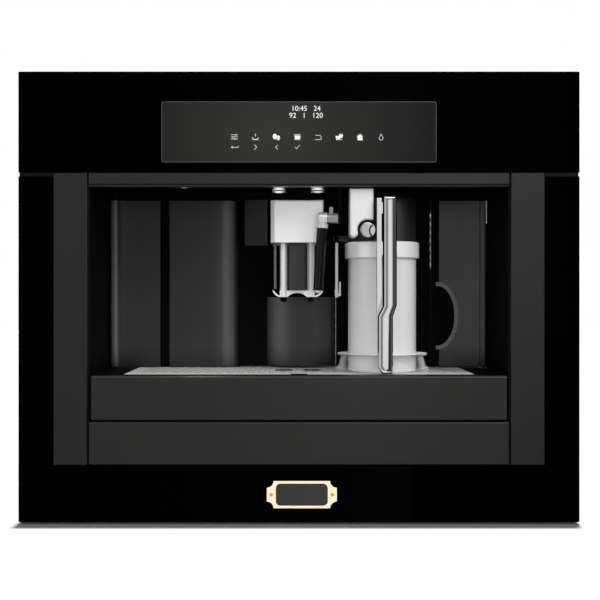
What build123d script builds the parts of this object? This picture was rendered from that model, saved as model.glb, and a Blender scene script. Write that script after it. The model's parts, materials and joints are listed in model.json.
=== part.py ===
"""Built-in coffee machine with a pull-out body, milk jug, drip tray and water tank.

Frame: +Z up, the front faces -Y, +X to the right of someone who stands before it.
Origin: centre of the overall box, at the underside of the fixed mounting plate.
Millimetres throughout. Depths are counted backwards from the front glass.
"""
import os

from build123d import *

os.makedirs("parts", exist_ok=True)

# ---------------------------------------------------------------- driving dimensions
# Front, seen square on
front_width = 595.0
front_height = 478.0
shelf_gap = 2.0  # the moving front hangs this far above the cabinet shelf
bottom_band = 60.4  # glass below the fixed lower panel
lower_panel_height = 45.1
tray_front_height = 46.8
niche_height = 201.2  # from the top edge of the tray front to the ceiling lip
lip_height = 1.7
top_bar_height = 12.4
panel_gap = 2.4
fine_gap = 0.5  # between trim pieces
strip_gap = 2.0  # beside the lower front panel and the top bar
tray_side_gap = 2.4  # more room beside the tray front, which slides
side_glass_width = 36.5
trim_strip_width = 36.0
niche_inset = 2.0  # from a trim strip's inner edge to the niche's side wall
front_corner_radius = 2.0

# Depths
total_depth = 410.0
glass_thickness = 6.0
trim_recess = 1.0  # metal trim lies this far behind the glass face
niche_depth = 126.5
inlet_proud = 2.9  # mains inlet behind the back cover

# Sheet and moulding walls
sheet = 1.5
moulding = 2.0
running_gap = 0.3  # between pieces that slide past each other
pin_gap = 0.05  # radial, between a pin and its bore
seat_gap = 0.3  # under a piece that stands on another

# Cabinet mounting and telescopic rails
mount_plate_thickness = 2.0
mount_plate_width = 528.0
mount_screw_radius = 2.6
mount_screw_spacing_x = 440.0
mount_screw_spacing_y = 280.0
rail_length = 360.0
rail_start = 25.0  # depth of the rails' front ends
rail_height = 44.5
rail_width = 10.0
rail_lip = 4.0
rail_base = 5.0  # height of the outer rail's lower flange

# Housing
housing_width = 536.0
pan_width = 492.6  # between the rails
pan_height = 6.0  # height of the pan's underside
deck_height = 155.5  # underside of the deck that carries the brewing parts
housing_step = 56.0  # height where the housing widens above the rails
housing_top = 466.0
frame_lip = 13.0

# Drip tray
tray_width = 376.0
tray_depth = 115.0
tray_nose_width = 114.0
tray_nose_depth = 66.0
tray_nose_x = -13.0
tray_height = 47.9
grille_thickness = 2.0
float_width = 14.0
float_depth = 7.0

# Service door
door_cover_gap = 34.1  # from the door to the centre cover
door_height = 195.4
door_thickness = 7.0
door_barrel_radius = 6.0
door_pin_radius = 2.0
door_pin_reach = 15.0
door_groove_width = 10.8
door_groove_offset = 64.4  # from the door's hinge edge to the middle of its groove
door_groove_depth = 5.0

# Centre cover behind the coffee outlet
cover_half = 40.3
cover_x = 2.4

# Water tank
tank_side_gap = 2.0  # to the niche's right wall
tank_width = 64.5
tank_height = 194.8
tank_front_depth = 117.0
tank_length = 204.0
tank_wall = 2.5
tank_runner = 2.0  # height of the two strips that the tank slides on
tank_grip_width = 20.0
tank_grip_height = 70.0
tank_grip_z = 219.0

# Coffee outlet
spout_x = -2.0
spout_head_width = 58.5
spout_head_height = 47.0
spout_head_top = 348.0
spout_head_depth = 62.0
spout_face_depth = 42.0
spout_wall = 3.0
spout_travel = 34.0
spout_tube_radius = 4.4
spout_tube_spacing = 30.0
nozzle_height = 236.0

# Hot-water wand
wand_depth = 32.0
wand_pivot_z = 327.0
wand_x = 26.0
wand_pin_radius = 3.0
wand_grip_radius = 5.9
wand_length = 82.0

# Milk jug
jug_x = 93.1
jug_depth = 62.0
jug_radius = 38.1
jug_wall = 2.5
jug_foot_radius = 52.2
jug_flange_radius = 49.9
jug_flange_height = 20.0  # top of the flange above the jug's underside
jug_ring_radius = 41.4
jug_ring_bottom = 283.6
jug_lid_bottom = 301.6
jug_lid_top = 351.0
knob_x = 73.6
knob_z = 313.0
knob_radius = 8.0
knob_stem_radius = 3.0
milk_outlet_x = 42.3

# Bean hopper, grinder and top lids
hopper_x = -30.0
hopper_depth = 325.0
hopper_width = 180.0
hopper_length = 120.0
hopper_wall = 2.5
hopper_throat_radius = 22.0
grinder_radius = 40.0
grinder_top = 392.0
burr_radius = 24.0
burr_height = 18.0
chute_x = -105.0
chute_depth = 200.0
chute_width = 60.0
chute_length = 44.0
lid_thickness = 3.0
dial_x = 96.0
dial_depth = 330.0
dial_radius = 21.0

# Badge
badge_x = 3.0
badge_z = 31.8
badge_screw_spacing = 64.8
badge_end = 4.6  # from a screw to the plate's end
badge_width = badge_screw_spacing + 2 * badge_end
badge_height = 28.7
badge_thickness = 1.2
badge_screw_proud = 0.4

# ---------------------------------------------------------------- derived places
front_y = -total_depth / 2 + badge_thickness + badge_screw_proud
back_y = total_depth / 2 - inlet_proud  # outer face of the back cover
cover_y = back_y - sheet  # inner face of the back cover
plate_y = front_y + glass_thickness  # the frame plate's front face
behind_plate_y = plate_y + sheet
trim_y = front_y + trim_recess

half_front = front_width / 2
half_housing = housing_width / 2
half_pan = pan_width / 2

front_bottom = shelf_gap
lower_panel_bottom = front_bottom + bottom_band + fine_gap
lower_panel_top = lower_panel_bottom + lower_panel_height
tray_bottom = lower_panel_top + panel_gap
tray_top = tray_bottom + tray_front_height
lip_bottom = tray_top + niche_height
lip_top = lip_bottom + lip_height
top_bar_top = lip_top + top_bar_height
glass_bottom = top_bar_top + fine_gap
front_top = front_bottom + front_height
ceiling = lip_top + 6.0
side_glass_top = glass_bottom - 4.1
strip_inner = half_front - side_glass_width - trim_strip_width
niche_width = 2 * (strip_inner - niche_inset)
half_niche = niche_width / 2
half_panel = strip_inner - strip_gap  # lower front panel and top bar
half_tray_front = half_panel - tray_side_gap
tank_left = half_niche - tank_side_gap - tank_width

deck_top = deck_height + sheet
tank_bottom = deck_top + tank_runner + seat_gap
niche_back_y = front_y + niche_depth  # front face of the lining's back wall
lining_back_y = niche_back_y + sheet


# ---------------------------------------------------------------- helpers
def save(piece, name):
    """Label a finished piece and write it as its own STEP file."""
    piece.part.label = name
    export_step(piece.part, f"parts/{name}.step")


def block(x, y, z, mode=Mode.ADD):
    """A square block between two limits on each axis, in the part being built."""
    centre = (sum(x) / 2, sum(y) / 2, sum(z) / 2)
    with Locations(centre):
        Box(x[1] - x[0], y[1] - y[0], z[1] - z[0], mode=mode)


def at_depth(depth):
    """The Y place of something that lies this far behind the front glass."""
    return front_y + depth


def front_plane(y):
    """A sketch plane that faces the front at this Y: local X is X, local Y is Z."""
    return Plane(origin=(0, y, 0), x_dir=(1, 0, 0), z_dir=(0, -1, 0))


def ring_profile(outer, inner):
    """A rectangular ring from two (x0, x1, z0, z1) outlines."""
    for limits, mode in ((outer, Mode.ADD), (inner, Mode.SUBTRACT)):
        x0, x1, z0, z1 = limits
        with Locations(((x0 + x1) / 2, (z0 + z1) / 2)):
            Rectangle(x1 - x0, z1 - z0, mode=mode)


# ---------------------------------------------------------------- mounting plate and rails
mount_half = mount_plate_width / 2
flange_top = rail_base + rail_height + 2.5
rail_y = (at_depth(rail_start), at_depth(rail_start + rail_length))

with BuildPart() as base_plate:
    with BuildSketch(Plane.XZ.offset(-rail_y[1])):
        with Locations((0, flange_top / 2)):
            Rectangle(mount_plate_width, flange_top)
        with Locations((0, mount_plate_thickness + flange_top / 2)):
            Rectangle(mount_plate_width - 2 * mount_plate_thickness, flange_top, mode=Mode.SUBTRACT)
    extrude(amount=rail_length)
    with Locations((0, sum(rail_y) / 2, mount_plate_thickness)):
        with GridLocations(mount_screw_spacing_x, mount_screw_spacing_y, 2, 2):
            Hole(mount_screw_radius)
save(base_plate, "base_plate")

outer_back = mount_half - mount_plate_thickness
outer_front = outer_back - rail_width
middle_back = outer_back - sheet - running_gap
middle_front = outer_front + sheet + running_gap
middle_low = rail_base + sheet + running_gap
middle_high = rail_base + rail_height - sheet - running_gap
head_low = middle_low + sheet + running_gap
head_high = middle_high - sheet - running_gap
head_back = middle_back - sheet - running_gap
head_front = middle_front + sheet + running_gap


def lipped_channel(x_back, x_open, z_low, z_high):
    """A channel with turned-in lips, open towards the machine, as a face in XZ."""
    points = [
        (x_open, z_low),
        (x_back, z_low),
        (x_back, z_high),
        (x_open, z_high),
        (x_open, z_high - sheet - rail_lip),
        (x_open + sheet, z_high - sheet - rail_lip),
        (x_open + sheet, z_high - sheet),
        (x_back - sheet, z_high - sheet),
        (x_back - sheet, z_low + sheet),
        (x_open + sheet, z_low + sheet),
        (x_open + sheet, z_low + sheet + rail_lip),
        (x_open, z_low + sheet + rail_lip),
    ]
    Polygon(*points, align=None)


with BuildPart() as rails_outer:
    with BuildSketch(Plane.XZ.offset(-rail_y[1])):
        lipped_channel(outer_back, outer_front, rail_base, rail_base + rail_height)
    extrude(amount=rail_length)
    mirror(about=Plane.YZ)
save(rails_outer, "rails_outer")

with BuildPart() as rails_middle:
    with BuildSketch(Plane.XZ.offset(-rail_y[1])):
        lipped_channel(middle_back, middle_front, middle_low, middle_high)
    extrude(amount=rail_length)
    mirror(about=Plane.YZ)
save(rails_middle, "rails_middle")

neck_margin = sheet + rail_lip + 1.5  # the inner rail's neck clears both pairs of lips
with BuildPart() as rails_inner:
    with BuildSketch(Plane.XZ.offset(-rail_y[1])):
        with Locations(((head_front + head_back) / 2, (head_low + head_high) / 2)):
            Rectangle(head_back - head_front, head_high - head_low)
        with Locations(((half_pan + head_front) / 2, (head_low + head_high) / 2)):
            Rectangle(head_front - half_pan, head_high - head_low - 2 * neck_margin)
    extrude(amount=rail_length)
    mirror(about=Plane.YZ)
save(rails_inner, "rails_inner")

# ---------------------------------------------------------------- chassis and housing
chassis_y = (behind_plate_y, cover_y)
step_top = housing_step + sheet

with BuildPart() as chassis:
    with BuildSketch(Plane.XZ.offset(-chassis_y[1])):
        Polygon(
            (-half_housing, step_top),
            (-half_housing, housing_step),
            (-half_pan, housing_step),
            (-half_pan, pan_height),
            (half_pan, pan_height),
            (half_pan, housing_step),
            (half_housing, housing_step),
            (half_housing, step_top),
            (half_pan - sheet, step_top),
            (half_pan - sheet, pan_height + sheet),
            (sheet - half_pan, pan_height + sheet),
            (sheet - half_pan, step_top),
            align=None,
        )
    extrude(amount=chassis_y[1] - chassis_y[0])

tray_half = tray_width / 2
tray_back = 9.0 + tray_depth  # depth of the tray's main part
nose_back = tray_back + tray_nose_depth
shelf_wall = running_gap + moulding
nose_clear = tray_nose_width / 2 + shelf_wall + 1.0
nose_clear_y = at_depth(nose_back + shelf_wall + 1.0)

with BuildPart() as deck:
    with BuildSketch(Plane.XY.offset(deck_height)):
        deck_y = (lining_back_y, cover_y)
        with Locations((0, sum(deck_y) / 2)):
            Rectangle(housing_width - 2 * sheet, deck_y[1] - deck_y[0])
        with Locations((tray_nose_x, (deck_y[0] + nose_clear_y) / 2)):
            Rectangle(2 * nose_clear, nose_clear_y - deck_y[0], mode=Mode.SUBTRACT)
    extrude(amount=sheet)
    for side in (-1, 1):
        x = sorted((side * (half_housing - sheet), side * (half_housing - 2 * sheet)))
        block(x, deck_y, (step_top, deck_height))
    for x in (tank_left + 4, tank_left + tank_width - 8):
        block((x, x + 4), (lining_back_y, niche_back_y + tank_length), (deck_top, tank_bottom - seat_gap))
chassis.part = Compound(children=[chassis.part, deck.part])
save(chassis, "chassis")

side_vent_back = 104.0  # from the back cover to the middle of the vents
side_vent_z = 380.0
with BuildPart() as side_panels:
    block((half_housing - sheet, half_housing), (behind_plate_y, cover_y), (step_top, housing_top))
    with BuildSketch(Plane.YZ.offset(half_housing)):
        with Locations((cover_y - side_vent_back, side_vent_z)):
            with GridLocations(24, 1, 6, 1):
                SlotOverall(70, 6, rotation=90)
    extrude(amount=-2 * sheet, mode=Mode.SUBTRACT)
    mirror(about=Plane.YZ)
save(side_panels, "side_panels")

inlet_x = 190.0
inlet_z = 90.0
inlet_width = 28.0
inlet_height = 48.0
with BuildPart() as back_cover:
    with BuildSketch(front_plane(back_y)):
        with Locations((0, (step_top + housing_top) / 2)):
            Rectangle(housing_width, housing_top - step_top)
        with Locations((0, (pan_height + step_top) / 2)):
            Rectangle(pan_width, step_top - pan_height)
        with Locations((inlet_x, inlet_z)):
            Rectangle(inlet_width, inlet_height, mode=Mode.SUBTRACT)
        with Locations((0, 330)):
            with GridLocations(60, 12, 5, 8):
                SlotOverall(50, 5, mode=Mode.SUBTRACT)
    extrude(amount=sheet)
save(back_cover, "back_cover")

hopper_y = at_depth(hopper_depth)
chute_y = at_depth(chute_depth)
dial_y = at_depth(dial_depth)
dial_stem_radius = 4.0
mouth_radius = 12.0
cover_top = housing_top + sheet

with BuildPart() as top_cover:
    with BuildSketch(Plane.XY.offset(housing_top)):
        with Locations((0, (behind_plate_y + back_y) / 2)):
            Rectangle(housing_width, back_y - behind_plate_y)
        with Locations((hopper_x, hopper_y)):
            RectangleRounded(hopper_width, hopper_length, mouth_radius, mode=Mode.SUBTRACT)
        with Locations((chute_x, chute_y)):
            RectangleRounded(chute_width, chute_length, mouth_radius / 2, mode=Mode.SUBTRACT)
        with Locations((dial_x, dial_y)):
            Circle(dial_stem_radius + pin_gap, mode=Mode.SUBTRACT)
        with Locations((160, at_depth(110))):
            with GridLocations(16, 1, 8, 1):
                SlotOverall(90, 5, rotation=90, mode=Mode.SUBTRACT)
    extrude(amount=sheet)
save(top_cover, "top_cover")

# ---------------------------------------------------------------- front frame and glass
display_width = 292.0
display_height = 65.0
display_z = 415.9
frame_half = half_front - 1.0
frame_bottom = front_bottom + 1.0
frame_top = front_top - 1.0
frame_outline = (-frame_half, frame_half, frame_bottom, frame_top)
opening_outline = (-half_niche, half_niche, lower_panel_top + 1.2, lip_top)
lip_outline = (-frame_half + sheet, frame_half - sheet, frame_bottom + sheet, frame_top - sheet)

with BuildPart() as front_frame:
    with BuildSketch(front_plane(behind_plate_y)):
        ring_profile(frame_outline, opening_outline)
        with Locations((0, display_z)):
            Rectangle(display_width - 10, display_height - 10, mode=Mode.SUBTRACT)
    extrude(amount=sheet)
    with BuildSketch(front_plane(behind_plate_y + frame_lip)):
        ring_profile(frame_outline, lip_outline)
    extrude(amount=frame_lip)
    for side in (-1, 1):
        x = sorted((side * (half_front - side_glass_width), side * frame_half))
        block(x, (trim_y, plate_y), (side_glass_top, glass_bottom))
save(front_frame, "front_frame")

with BuildPart() as control_glass:
    with BuildSketch(front_plane(plate_y)):
        with Locations((0, (glass_bottom + front_top) / 2)):
            Rectangle(front_width, front_top - glass_bottom)
        with Locations((0, display_z)):
            RectangleRounded(display_width, display_height, 2, mode=Mode.SUBTRACT)
    extrude(amount=glass_thickness)
    top_corners = control_glass.edges().filter_by(Axis.Y).group_by(Axis.Z)[-1]
    fillet(top_corners, front_corner_radius / 2)
    chamfer(control_glass.faces().sort_by(Axis.Y)[0].outer_wire().edges(), 0.6)
save(control_glass, "control_glass")

with BuildPart() as lower_glass:
    with BuildSketch(front_plane(plate_y)):
        with Locations((0, (front_bottom + side_glass_top) / 2)):
            Rectangle(front_width, side_glass_top - front_bottom)
        with Locations((0, (front_bottom + bottom_band + side_glass_top) / 2)):
            inner_height = side_glass_top - front_bottom - bottom_band
            Rectangle(front_width - 2 * side_glass_width, inner_height, mode=Mode.SUBTRACT)
    extrude(amount=glass_thickness)
    bottom_corners = lower_glass.edges().filter_by(Axis.Y).group_by(Axis.Z)[0]
    fillet(bottom_corners, front_corner_radius)
    chamfer(lower_glass.faces().sort_by(Axis.Y)[0].outer_wire().edges(), 0.6)
save(lower_glass, "lower_glass")

with BuildPart() as display_window:
    with BuildSketch(front_plane(plate_y)):
        with Locations((0, display_z)):
            RectangleRounded(display_width, display_height, 2)
    extrude(amount=glass_thickness - 0.3)
save(display_window, "display_window")

with BuildPart() as trim_strips:
    strip_x = (strip_inner, half_front - side_glass_width - 0.2)
    block(strip_x, (trim_y, plate_y), (lower_panel_bottom - 0.4, glass_bottom))
    chamfer(trim_strips.faces().sort_by(Axis.Y)[0].outer_wire().edges(), 0.8)
    mirror(about=Plane.YZ)
save(trim_strips, "trim_strips")

lip_groove = 0.8  # a shadow line between the bar and its lip
with BuildPart() as top_bar:
    with BuildSketch(Plane.YZ.offset(-half_panel)):
        Polygon(
            (trim_y, top_bar_top),
            (trim_y, lip_top + lip_groove),
            (trim_y + lip_groove, lip_top + lip_groove),
            (trim_y + lip_groove, lip_top),
            (trim_y, lip_top),
            (trim_y + 0.7, lip_bottom),
            (behind_plate_y + 6.0, lip_bottom),
            (behind_plate_y + 6.0, lip_top),
            (plate_y, lip_top),
            (plate_y, top_bar_top),
            align=None,
        )
    extrude(amount=2 * half_panel)
save(top_bar, "top_bar")

with BuildPart() as lower_front_panel:
    block((-half_panel, half_panel), (trim_y, plate_y), (lower_panel_bottom, lower_panel_top))
    chamfer(lower_front_panel.faces().sort_by(Axis.Y)[0].outer_wire().edges(), 0.8)
save(lower_front_panel, "lower_front_panel")

# Badge: a plate with scooped corners, an enamel field and two screws
badge_scoop = 7.0
badge_field_gap = 4.9  # from a screw to the enamel field
badge_field_width = badge_screw_spacing - 2 * badge_field_gap
badge_field_height = 23.4
badge_field_round = 5.0
badge_screw_radius = 2.0
badge_face_y = front_y - badge_thickness

with BuildPart() as badge_plate:
    with BuildSketch(front_plane(front_y)):
        with Locations((badge_x, badge_z)):
            Rectangle(badge_width, badge_height)
            with GridLocations(badge_width, badge_height, 2, 2):
                Circle(badge_scoop, mode=Mode.SUBTRACT)
            with GridLocations(badge_screw_spacing, 1, 2, 1):
                Circle(badge_screw_radius, mode=Mode.SUBTRACT)
    extrude(amount=badge_thickness)
    with BuildSketch(front_plane(badge_face_y)):
        with Locations((badge_x, badge_z)):
            RectangleRounded(badge_field_width, badge_field_height, badge_field_round)
    extrude(amount=-badge_thickness / 2, mode=Mode.SUBTRACT)
with BuildPart() as badge_enamel:
    with BuildSketch(front_plane(front_y - badge_thickness / 2)):
        with Locations((badge_x, badge_z)):
            RectangleRounded(badge_field_width, badge_field_height, badge_field_round)
    extrude(amount=badge_thickness / 2 - 0.1)
save(badge_enamel, "badge_enamel")

with BuildPart() as badge_screws:
    with BuildSketch(front_plane(front_y)):
        with Locations((badge_x, badge_z)):
            with GridLocations(badge_screw_spacing, 1, 2, 1):
                Circle(badge_screw_radius)
    extrude(amount=badge_thickness + badge_screw_proud)
    fillet(badge_screws.edges().group_by(Axis.Y)[0], 0.3)
badge_plate.part = Compound(children=[badge_plate.part, badge_screws.part])
save(badge_plate, "badge_plate")

# ---------------------------------------------------------------- niche
door_left = -half_niche + 0.5
door_width = cover_x - cover_half - door_cover_gap - door_left
door_right = door_left + door_width
door_groove_x = door_left + door_groove_offset
door_bottom = deck_top + 2.0
door_top = door_bottom + door_height
tank_right = tank_left + tank_width
tank_top = tank_bottom + tank_height
lining_outer = half_niche + 2.0
lining_wall = 1.7

with BuildPart() as niche_lining:
    lining_z = (tray_bottom - 2, ceiling + moulding)
    block((-lining_outer, lining_outer), (behind_plate_y, lining_back_y), lining_z)
    inner_x = (lining_wall - lining_outer, lining_outer - lining_wall)
    block(inner_x, (behind_plate_y, niche_back_y), (tray_bottom - 2, ceiling), mode=Mode.SUBTRACT)
    wall_y = (niche_back_y - 1, lining_back_y + 1)
    block(inner_x, wall_y, (tray_bottom - 2, door_bottom + 1), mode=Mode.SUBTRACT)
    door_hole_x = (door_left + 8, door_right - 2)
    block(door_hole_x, wall_y, (door_bottom, door_top - 4), mode=Mode.SUBTRACT)
    block((tank_left - 1, inner_x[1]), wall_y, (door_bottom, tank_top + 1), mode=Mode.SUBTRACT)
save(niche_lining, "niche_lining")


def tray_outline(grow):
    """The tray in plan, a rectangle with a rounded nose at the back, grown all round."""
    front_edge = at_depth(9.0)
    main_back = at_depth(tray_back) + grow
    nose_end = at_depth(nose_back) + grow
    with Locations((0, (front_edge - grow + main_back) / 2)):
        Rectangle(tray_width + 2 * grow, main_back - front_edge + grow)
    with Locations((tray_nose_x, (front_edge + nose_end) / 2)):
        RectangleRounded(tray_nose_width + 2 * grow, nose_end - front_edge, 25 + grow)


# ---------------------------------------------------------------- drip tray
shelf_top = tray_top - 0.6
shelf_floor = tray_bottom - 0.6  # top of the shelf under the tray
bin_bottom = shelf_floor + seat_gap
bin_top = bin_bottom + tray_height
front_panel_back = at_depth(9.0)

with BuildPart() as tray_shelf:
    shelf_y = (at_depth(9.5), niche_back_y - running_gap)
    for side in (-1, 1):
        x = sorted((side * (tray_half + running_gap), side * (lining_outer - lining_wall)))
        block(x, shelf_y, (shelf_top - moulding, shelf_top))
    with BuildSketch(Plane.XY.offset(shelf_floor - moulding)):
        tray_outline(shelf_wall)
    extrude(amount=shelf_top - shelf_floor + moulding)
    with BuildSketch(Plane.XY.offset(shelf_floor)):
        tray_outline(running_gap)
    extrude(amount=shelf_top, mode=Mode.SUBTRACT)
    wide = (-half_niche, half_niche)
    block(wide, (front_y - 20, at_depth(9.5)), (shelf_floor - moulding, ceiling), mode=Mode.SUBTRACT)
    for side in (-1, 1):
        rib_x = side * (lining_outer - lining_wall - 15)
        block(
            (rib_x - 1, rib_x + 1),
            (at_depth(9.5), niche_back_y - running_gap),
            (shelf_floor - moulding, shelf_top - moulding),
        )
save(tray_shelf, "tray_shelf")

with BuildPart() as tray_front:
    with BuildSketch(Plane.YZ.offset(-half_tray_front)):
        Polygon(
            (trim_y, tray_bottom + 1.0),
            (trim_y + 1.0, tray_bottom),
            (front_panel_back, tray_bottom),
            (front_panel_back, tray_top),
            (trim_y + 1.6, tray_top),
            (trim_y, tray_top - 1.6),
            align=None,
        )
    extrude(amount=2 * half_tray_front)
    pocket_x = (-half_tray_front + 4, half_tray_front - 4)
    pocket_z = (tray_bottom + 3, bin_bottom + 8)
    block(pocket_x, (front_panel_back - 3, front_panel_back), pocket_z, mode=Mode.SUBTRACT)
save(tray_front, "tray_front")

with BuildPart() as tray_bin:
    with BuildSketch(Plane.XY.offset(bin_bottom)):
        tray_outline(0)
    extrude(amount=tray_height - grille_thickness)
    with BuildSketch(Plane.XY.offset(bin_bottom + moulding)):
        tray_outline(-moulding)
    extrude(amount=tray_height, mode=Mode.SUBTRACT)
    guide_z = (bin_bottom, bin_top - 12)
    for side in (-1, 1):
        x_in = side * (float_width / 2 + running_gap)
        x = sorted((x_in, x_in + side * moulding))
        block(x, (at_depth(9), at_depth(26)), guide_z)
save(tray_bin, "tray_bin")

slot_length = 7.0
slot_width = 2.6
slot_pitch_x = 11.8
slot_pitch_y = 9.0
grille_bottom = bin_top - grille_thickness
with BuildPart() as cup_grille:
    with BuildSketch(Plane.XY.offset(grille_bottom)):
        tray_outline(0)
        with Locations((0, at_depth(5))):
            Rectangle(tray_width, 14, mode=Mode.SUBTRACT)
        with Locations((0, at_depth(17))):
            Rectangle(float_width + 4, 12, mode=Mode.SUBTRACT)
        with Locations((0, at_depth(76))):
            with GridLocations(slot_pitch_x, 2 * slot_pitch_y, 30, 5):
                Rectangle(slot_length, slot_width, mode=Mode.SUBTRACT)
        with Locations((0, at_depth(76))):
            with GridLocations(slot_pitch_x, 2 * slot_pitch_y, 29, 4):
                Rectangle(slot_length, slot_width, mode=Mode.SUBTRACT)
    extrude(amount=grille_thickness)
    with BuildSketch(Plane.XY.offset(bin_top)):
        cup_marks = [(spout_x + side * spout_tube_spacing / 2, at_depth(62)) for side in (-1, 1)]
        with Locations(*cup_marks):
            Ellipse(12, 9)
            Ellipse(10.6, 7.6, mode=Mode.SUBTRACT)
    extrude(amount=-0.5, mode=Mode.SUBTRACT)
save(cup_grille, "cup_grille")

float_y = (at_depth(13), at_depth(13) + float_depth)
float_bottom = bin_bottom + moulding + seat_gap
with BuildPart() as tray_float:
    block((-float_width / 2, float_width / 2), float_y, (float_bottom, bin_top - 1.5))
    top_edges = tray_float.edges().filter_by(Axis.X).group_by(Axis.Z)[-1]
    fillet(top_edges, 2)
save(tray_float, "tray_float")

# ---------------------------------------------------------------- service door
pin_x = door_left + door_barrel_radius
pin_y = niche_back_y - running_gap - door_barrel_radius
door_back_y = niche_back_y - running_gap
door_face_y = door_back_y - door_thickness
groove = (door_groove_x - door_groove_width / 2, door_groove_x + door_groove_width / 2)

with BuildPart() as service_door:
    with BuildSketch(Plane.XY.offset(door_bottom)):
        with BuildLine():
            curl = door_right - 22
            Polyline(
                (pin_x, door_back_y),
                (pin_x, door_face_y),
                (groove[0], door_face_y),
                (groove[0] + 1.5, door_face_y + door_groove_depth),
                (groove[1] - 1.5, door_face_y + door_groove_depth),
                (groove[1], door_face_y),
                (curl, door_face_y),
            )
            ThreePointArc(
                (curl, door_face_y),
                (door_right - 6, door_face_y + door_thickness * 0.38),
                (door_right, door_back_y),
            )
            Line((door_right, door_back_y), (pin_x, door_back_y))
        make_face()
        with Locations((pin_x, pin_y)):
            Circle(door_barrel_radius)
    extrude(amount=door_height)
    for x in ((pin_x + 12, groove[0] - 4), (groove[1] + 4, curl - 2)):
        pocket_z = (door_bottom + 5, door_top - 5)
        block(x, (door_back_y - door_thickness + 2.5, door_back_y), pocket_z, mode=Mode.SUBTRACT)
    for z, direction in ((door_bottom, 1), (door_top, -1)):
        with BuildSketch(Plane.XY.offset(z)):
            with Locations((pin_x, pin_y)):
                Circle(door_pin_radius + pin_gap)
        extrude(amount=direction * (door_pin_reach + 0.5), mode=Mode.SUBTRACT)
save(service_door, "service_door")

with BuildPart() as door_hinge_pins:
    for z0, z1 in ((shelf_top, door_bottom + door_pin_reach), (door_top - door_pin_reach, ceiling)):
        with BuildSketch(Plane.XY.offset(z0)):
            with Locations((pin_x, pin_y)):
                Circle(door_pin_radius)
        extrude(amount=z1 - z0)
save(door_hinge_pins, "door_hinge_pins")

# ---------------------------------------------------------------- water tank
tank_face_y = at_depth(tank_front_depth)
tank_side = 8.4  # the plain strip at the left of the panel
tank_corner = niche_depth - tank_front_depth - 0.5

with BuildPart() as tank_front:
    with BuildSketch(Plane.XY.offset(tank_bottom)):
        with BuildLine():
            Polyline(
                (tank_right, tank_face_y + tank_corner),
                (tank_right, niche_back_y),
                (tank_left, niche_back_y),
                (tank_left, tank_face_y + 2.5),
                (tank_left + tank_side - 1, tank_face_y + 1.5),
                (tank_left + tank_side, tank_face_y),
                (tank_right - tank_corner, tank_face_y),
            )
            RadiusArc(
                (tank_right - tank_corner, tank_face_y),
                (tank_right, tank_face_y + tank_corner),
                tank_corner,
            )
        make_face()
    extrude(amount=tank_height)
    grip_x = tank_left + tank_side - 2
    rim = 4.5
    for grow, depth, mode in ((rim, -1.5, Mode.ADD), (0, 7.5, Mode.SUBTRACT)):
        with BuildSketch(front_plane(tank_face_y - 1.5 if grow else tank_face_y + depth)):
            with Locations((grip_x, tank_grip_z)):
                Ellipse(tank_grip_width + grow, tank_grip_height / 2 + grow)
            with Locations((grip_x - 50 - 2, tank_grip_z)):
                Rectangle(100, tank_grip_height * 2, mode=Mode.SUBTRACT)
        extrude(amount=-3 if grow else 12, mode=mode)
save(tank_front, "tank_front")

tank_slot_length = 40.0
tank_slot_width = 14.0
tank_back_y = niche_back_y + tank_length
tank_body_top = tank_top - 12
with BuildPart() as tank_body:
    block((tank_left + 1, tank_right - 1), (niche_back_y, tank_back_y), (tank_bottom, tank_body_top))
    fillet(tank_body.edges().filter_by(Axis.Z), 6)
    offset(amount=-tank_wall, openings=tank_body.faces().sort_by(Axis.Z)[-1])
save(tank_body, "tank_body")

with BuildPart() as tank_lid:
    lid_plate_z = (tank_body_top, tank_body_top + 2.5)
    block((tank_left + 1, tank_right - 1), (niche_back_y, tank_back_y), lid_plate_z)
    fillet(tank_lid.edges().filter_by(Axis.Z), 6)
    lid_z = (tank_body_top - 5, tank_body_top)
    inset = 1 + tank_wall + 0.2
    block(
        (tank_left + inset, tank_right - inset),
        (niche_back_y + inset + 6, tank_back_y - inset - 6),
        lid_z,
    )
    with BuildSketch(Plane.XY.offset(tank_body_top + 2.5)):
        with Locations(((tank_left + tank_right) / 2, niche_back_y + 60)):
            SlotOverall(tank_slot_length, tank_slot_width)
    extrude(amount=-5, mode=Mode.SUBTRACT)
save(tank_lid, "tank_lid")

# ---------------------------------------------------------------- niche fittings
lamp_rim = 0.8  # straight rim below each half ball
lamps = ((-22.4, 60.0, 7.6), (20.9, 60.0, 7.6), (-123.8, 21.8, 6.5))  # x, depth and radius
with BuildPart() as cup_lights:
    for x, depth, radius in lamps:
        rim_z = ceiling - radius
        with BuildSketch(front_plane(at_depth(depth))):
            with BuildLine():
                rim_x = x + radius
                Polyline((x, ceiling), (x, rim_z - lamp_rim), (rim_x, rim_z - lamp_rim), (rim_x, rim_z))
                RadiusArc((x, ceiling), (rim_x, rim_z), radius)
            make_face()
        revolve(axis=Axis((x, at_depth(depth), 0), (0, 0, 1)))
save(cup_lights, "cup_lights")

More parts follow.
